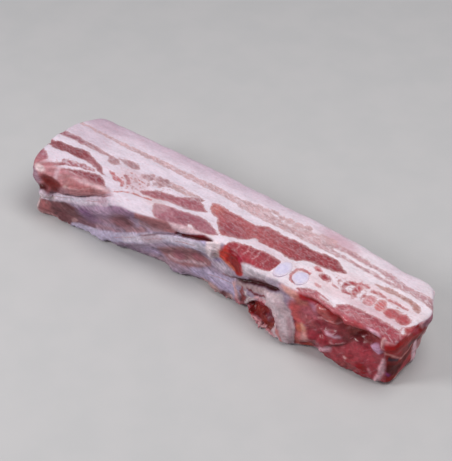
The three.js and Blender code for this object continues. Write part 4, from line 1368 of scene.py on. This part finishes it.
def thread_tree(material):
    """Wavering threads along polylines, thin at both ends."""
    tree = bpy.data.node_groups.new("threads", "GeometryNodeTree")
    face = tree.interface
    face.new_socket("Geometry", in_out="INPUT", socket_type="NodeSocketGeometry")
    face.new_socket("Half Width", in_out="INPUT", socket_type="NodeSocketFloat").default_value = 0.0004
    face.new_socket("Waver", in_out="INPUT", socket_type="NodeSocketFloat").default_value = 0.0006
    face.new_socket("Step", in_out="INPUT", socket_type="NodeSocketFloat").default_value = 0.0009
    face.new_socket("Geometry", in_out="OUTPUT", socket_type="NodeSocketGeometry")
    given = tree.nodes.new("NodeGroupInput").outputs
    lines = add(tree, "GeometryNodeMeshToCurve", {"Mesh": given["Geometry"]}).outputs[0]
    fine = add(tree, "GeometryNodeResampleCurve", {"Curve": lines, "Length": given["Step"]}, mode="LENGTH")
    grain = add(tree, "ShaderNodeTexNoise", {"Scale": 260.0, "Detail": 2.0})
    centred = add(tree, "ShaderNodeVectorMath", {0: grain.outputs["Color"], 1: (0.5, 0.5, 0.5)},
                  operation="SUBTRACT").outputs[0]
    shift = add(tree, "ShaderNodeVectorMath", {0: centred, 3: given["Waver"]}, operation="SCALE").outputs[0]
    moved = add(tree, "GeometryNodeSetPosition", {"Geometry": fine.outputs[0], "Offset": shift}).outputs[0]
    along = tree.nodes.new("GeometryNodeSplineParameter").outputs["Factor"]
    arch = maths(tree, "MULTIPLY", maths(tree, "MULTIPLY", along, maths(tree, "SUBTRACT", 1.0, along)), 4.0)
    taper = maths(tree, "POWER", arch, 0.5)
    width = maths(tree, "MULTIPLY", taper, span_field(tree, grain.outputs["Fac"], 0.3, 0.7, 0.7, 1.3))
    ring = add(tree, "GeometryNodeCurvePrimitiveCircle", {"Resolution": 8, "Radius": given["Half Width"]})
    tube = add(tree, "GeometryNodeCurveToMesh", {"Curve": moved, "Profile Curve": ring.outputs["Curve"],
                                                 "Scale": width, "Fill Caps": True}).outputs[0]
    finish_tree(tree, tube, material)
    return tree


def tag_tree(material):
    """Lumps of ragged fat set along polylines, each turned, stretched and shifted by chance."""
    tree = bpy.data.node_groups.new("tags", "GeometryNodeTree")
    face = tree.interface
    face.new_socket("Geometry", in_out="INPUT", socket_type="NodeSocketGeometry")
    face.new_socket("Count", in_out="INPUT", socket_type="NodeSocketInt").default_value = 8
    face.new_socket("Size", in_out="INPUT", socket_type="NodeSocketFloat").default_value = 0.0013
    face.new_socket("Scatter", in_out="INPUT", socket_type="NodeSocketFloat").default_value = 0.0008
    face.new_socket("Seed", in_out="INPUT", socket_type="NodeSocketInt").default_value = 1
    face.new_socket("Geometry", in_out="OUTPUT", socket_type="NodeSocketGeometry")
    given = tree.nodes.new("NodeGroupInput").outputs
    lines = add(tree, "GeometryNodeMeshToCurve", {"Mesh": given["Geometry"]}).outputs[0]
    points = add(tree, "GeometryNodeCurveToPoints",
                 {"Curve": lines, "Count": given["Count"]}).outputs["Points"]
    offset = chance(tree, "FLOAT_VECTOR", (-1.0, -0.5, -0.5), (1.0, 0.5, 1.0), given["Seed"])
    shift = add(tree, "ShaderNodeVectorMath", {0: offset, 3: given["Scatter"]},
                operation="SCALE").outputs[0]
    spread = add(tree, "GeometryNodeSetPosition", {"Geometry": points, "Offset": shift}).outputs[0]
    lump = add(tree, "GeometryNodeMeshIcoSphere",
               {"Radius": given["Size"], "Subdivisions": 2}).outputs["Mesh"]
    turn = chance(tree, "FLOAT_VECTOR", (0.0, 0.0, 0.0), (6.28, 6.28, 6.28), given["Seed"])
    scale = chance(tree, "FLOAT_VECTOR", (0.6, 0.4, 0.4), (1.6, 0.8, 0.9), given["Seed"])
    placed = add(tree, "GeometryNodeInstanceOnPoints",
                 {"Points": spread, "Instance": lump, "Rotation": turn,
                                                        "Scale": scale}).outputs[0]
    real = add(tree, "GeometryNodeRealizeInstances", {"Geometry": placed}).outputs[0]
    grain = add(tree, "ShaderNodeTexNoise", {"Scale": 380.0, "Detail": 2.0})
    centred = add(tree, "ShaderNodeVectorMath", {0: grain.outputs["Color"], 1: (0.5, 0.5, 0.5)},
                  operation="SUBTRACT").outputs[0]
    rough = add(tree, "ShaderNodeVectorMath", {0: centred, 3: 0.0022}, operation="SCALE").outputs[0]
    ragged = add(tree, "GeometryNodeSetPosition", {"Geometry": real, "Offset": rough}).outputs[0]
    finish_tree(tree, ragged, material)
    return tree


def span_field(tree, value, low, high, to_low, to_high):
    return add(tree, "ShaderNodeMapRange",
               {"Value": value, "From Min": low, "From Max": high, "To Min": to_low,
                                            "To Max": to_high}).outputs["Result"]


def chance(tree, kind, low, high, seed):
    node = add(tree, "FunctionNodeRandomValue", {0: low, 1: high, "Seed": seed}, data_type=kind)
    return node.outputs[0]


def finish_tree(tree, geometry, material):
    soft = add(tree, "GeometryNodeSetShadeSmooth", {"Geometry": geometry}).outputs[0]
    real = add(tree, "GeometryNodeRealizeInstances", {"Geometry": soft}).outputs[0]
    done = add(tree, "GeometryNodeSetMaterial", {"Geometry": real})
    done.inputs["Material"].default_value = material
    tree.links.new(done.outputs[0], tree.nodes.new("NodeGroupOutput").inputs[0])


def grown(name, points, tree, **values):
    """A polyline through points in mm, turned into a mesh by a geometry tree with those input values."""
    mesh = bpy.data.meshes.new(name)
    mesh.from_pydata((np.array(points) * MM).tolist(), [(i, i + 1) for i in range(len(points) - 1)], [])
    obj = add_object(name, mesh)
    modifier = obj.modifiers.new("grow", "NODES")
    modifier.node_group = tree
    for item in tree.interface.items_tree:
        label = item.name.replace(" ", "_").lower()
        if item.item_type == "SOCKET" and item.in_out == "INPUT" and label in values:
            modifier[item.identifier] = values[label]
    return applied(obj)


def joined(name, parts):
    whole = bmesh.new()
    for part in parts:
        whole.from_mesh(part.data)
    material = next(m for m in parts[0].data.materials if m)
    for face in whole.faces:
        face.material_index = 0
    for part in parts:
        mesh = part.data
        bpy.data.objects.remove(part)
        bpy.data.meshes.remove(mesh)
    mesh = bpy.data.meshes.new(name)
    whole.to_mesh(mesh)
    whole.free()
    mesh.materials.append(material)
    mesh.shade_smooth()
    return add_object(name, mesh)


class Surface:
    """Finds places on the finished slab."""

    def __init__(self, mesh):
        self.co = read_points(mesh)
        self.normal = read_normals(mesh)
        place = self.co - [LAYOUT_ZERO, 0, 0]
        self.side = on_plane(place, 1, BONE_PLANE)[:, [0, 2]]
        self.forward = self.co @ SLANT
        self.faces_out = self.normal @ SLANT > 0.1

    def on_side(self, x, z, lift):
        """The outermost point of the bone side at a layout place, in mm."""
        away = np.hypot(self.side[:, 0] - x, self.side[:, 1] - z) + 99 * ~self.faces_out
        chosen = np.flatnonzero(away < away.min() + 0.9)
        chosen = chosen[self.forward[chosen] > self.forward[chosen].max() - 3]
        return (self.co[chosen] + lift * self.normal[chosen]).mean(0)

    def at_foot(self, x):
        """The outermost point of the lower edge at a place along the strip, in mm."""
        along = self.co[:, 0] - LAYOUT_ZERO
        near = (np.abs(along - x) < 0.8) & (self.co[:, 2] < 3.2) & (self.co[:, 2] > 1.2)
        chosen = np.flatnonzero(near)
        return self.co[chosen[np.argmin(self.co[chosen, 1])]] + [0, 0.9, 0.6]


def build_threads(surface):
    tree = thread_tree(plain_material("pale_sinew", (172, 128, 136), (196, 164, 172), 0.5))
    parts = []
    for number, (places, half_width) in enumerate(STRANDS):
        dense = []
        for (ax, az), (bx, bz) in zip(places[:-1], places[1:]):
            steps = max(2, round(math.hypot(bx - ax, bz - az) / 1.6))
            dense += [(ax + (bx - ax) * i / steps, az + (bz - az) * i / steps) for i in range(steps)]
        points = [surface.on_side(x, z, 0.0) for x, z in [*dense, places[-1]]]
        parts.append(grown(f"thread_{number}", points, tree, half_width=half_width * MM, waver=0.0009))
    return joined("sinew_threads", parts)


def build_tags(surface):
    tree = tag_tree(plain_material("fat_tags", (176, 106, 114), (208, 160, 164), 0.6))
    parts = []
    for number, (first, last, count, size, scatter) in enumerate(TAGS):
        points = [surface.at_foot(x) for x in np.arange(first, last, 1.5)]
        parts.append(grown(f"tag_{number}", points, tree, count=count, size=size * MM, scatter=scatter * MM,
                           seed=11 + number))
    return joined("fat_tags", parts)


def plain_material(name, deep, pale, rough):
    material, tree, shader, place = new_material(name)
    cloud = noise(tree, place, (2.4, 2.4, 2.4), 3.0)
    colour = blend_colour(tree, span(tree, cloud, 0.35, 0.65), (*rgb(*deep), 1), (*rgb(*pale), 1))
    tree.links.new(colour, shader.inputs["Base Color"])
    shader.inputs["Roughness"].default_value = rough
    shader.inputs["Specular IOR Level"].default_value = 0.15
    return material


# ---------------------------------------------------------------- floor, light, camera

def add_area_light(name, place, towards, size, watts, colour):
    light = bpy.data.lights.new(name, "AREA")
    light.shape = "DISK"
    light.size = size
    light.energy = watts
    light.color = colour
    lamp = add_object(name, light)
    lamp.location = place
    lamp.rotation_euler = (Vector(towards) - Vector(place)).to_track_quat("-Z", "Y").to_euler()


def build_studio():
    floor_mesh = bpy.data.meshes.new("floor")
    reach = 6.0
    corners = [(-reach, -reach, 0), (reach, -reach, 0), (reach, reach, 0), (-reach, reach, 0)]
    floor_mesh.from_pydata(corners, [], [(0, 1, 2, 3)])
    floor = add_object("floor", floor_mesh)
    floor.location.z = cad_low.z - 0.0003
    floor.data.materials.append(floor_material())
    add_area_light("overhead", (0.35, 0.2, 1.15), (0, 0, 0.02), 0.8, 8.6, (1.0, 0.985, 0.97))
    add_area_light("window", (-0.7, -0.8, 0.75), (0, 0, 0.02), 0.45, 8.4, (1.0, 0.985, 0.98))
    world = bpy.data.worlds.new("studio")
    world.use_nodes = True
    world.node_tree.nodes["Background"].inputs["Color"].default_value = (0.92, 0.94, 1.0, 1)
    world.node_tree.nodes["Background"].inputs["Strength"].default_value = 0.28
    bpy.context.scene.world = world
    bpy.context.scene.view_settings.view_transform = "Standard"


def build_camera():
    azimuth, elevation = math.radians(37.0), math.radians(41.3)
    back = Vector((math.sin(azimuth) * math.cos(elevation), -math.cos(azimuth) * math.cos(elevation),
                   math.sin(elevation)))
    target = Vector((-0.0105, 0.0134, 0.025))
    camera = add_object("camera", bpy.data.cameras.new("camera"))
    camera.data.lens = 109.33
    camera.data.sensor_width = 36.0
    camera.data.clip_start, camera.data.clip_end = 0.05, 30.0
    camera.location = target + back * 1.1245
    camera.rotation_euler = (-back).to_track_quat("-Z", "Y").to_euler()
    bpy.context.scene.camera = camera


def main():
    groups = {"edge": edge_group(), "muscle": muscle_group(), "fat": fat_group(),
              "membrane": membrane_group(), "gloss": gloss_group()}
    build_camera()
    build_studio()

    strip = build_strip()
    strip.data.materials.append(meat_material(groups))
    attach(strip, "root")
    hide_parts("belly_slab")

    surface = Surface(strip.data)
    for piece in (build_threads(surface), build_tags(surface)):
        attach(piece, "root")

    wet_cartilage = cartilage_material(groups)
    for node, name, seed in (("rib_cartilage_1", "cartilage_end_1", 1),
                             ("rib_cartilage_2", "cartilage_end_2", 2)):
        rod = build_cartilage(node, name, seed)
        rod.data.materials.append(wet_cartilage)
        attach(rod, "root")
        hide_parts(node)


main()
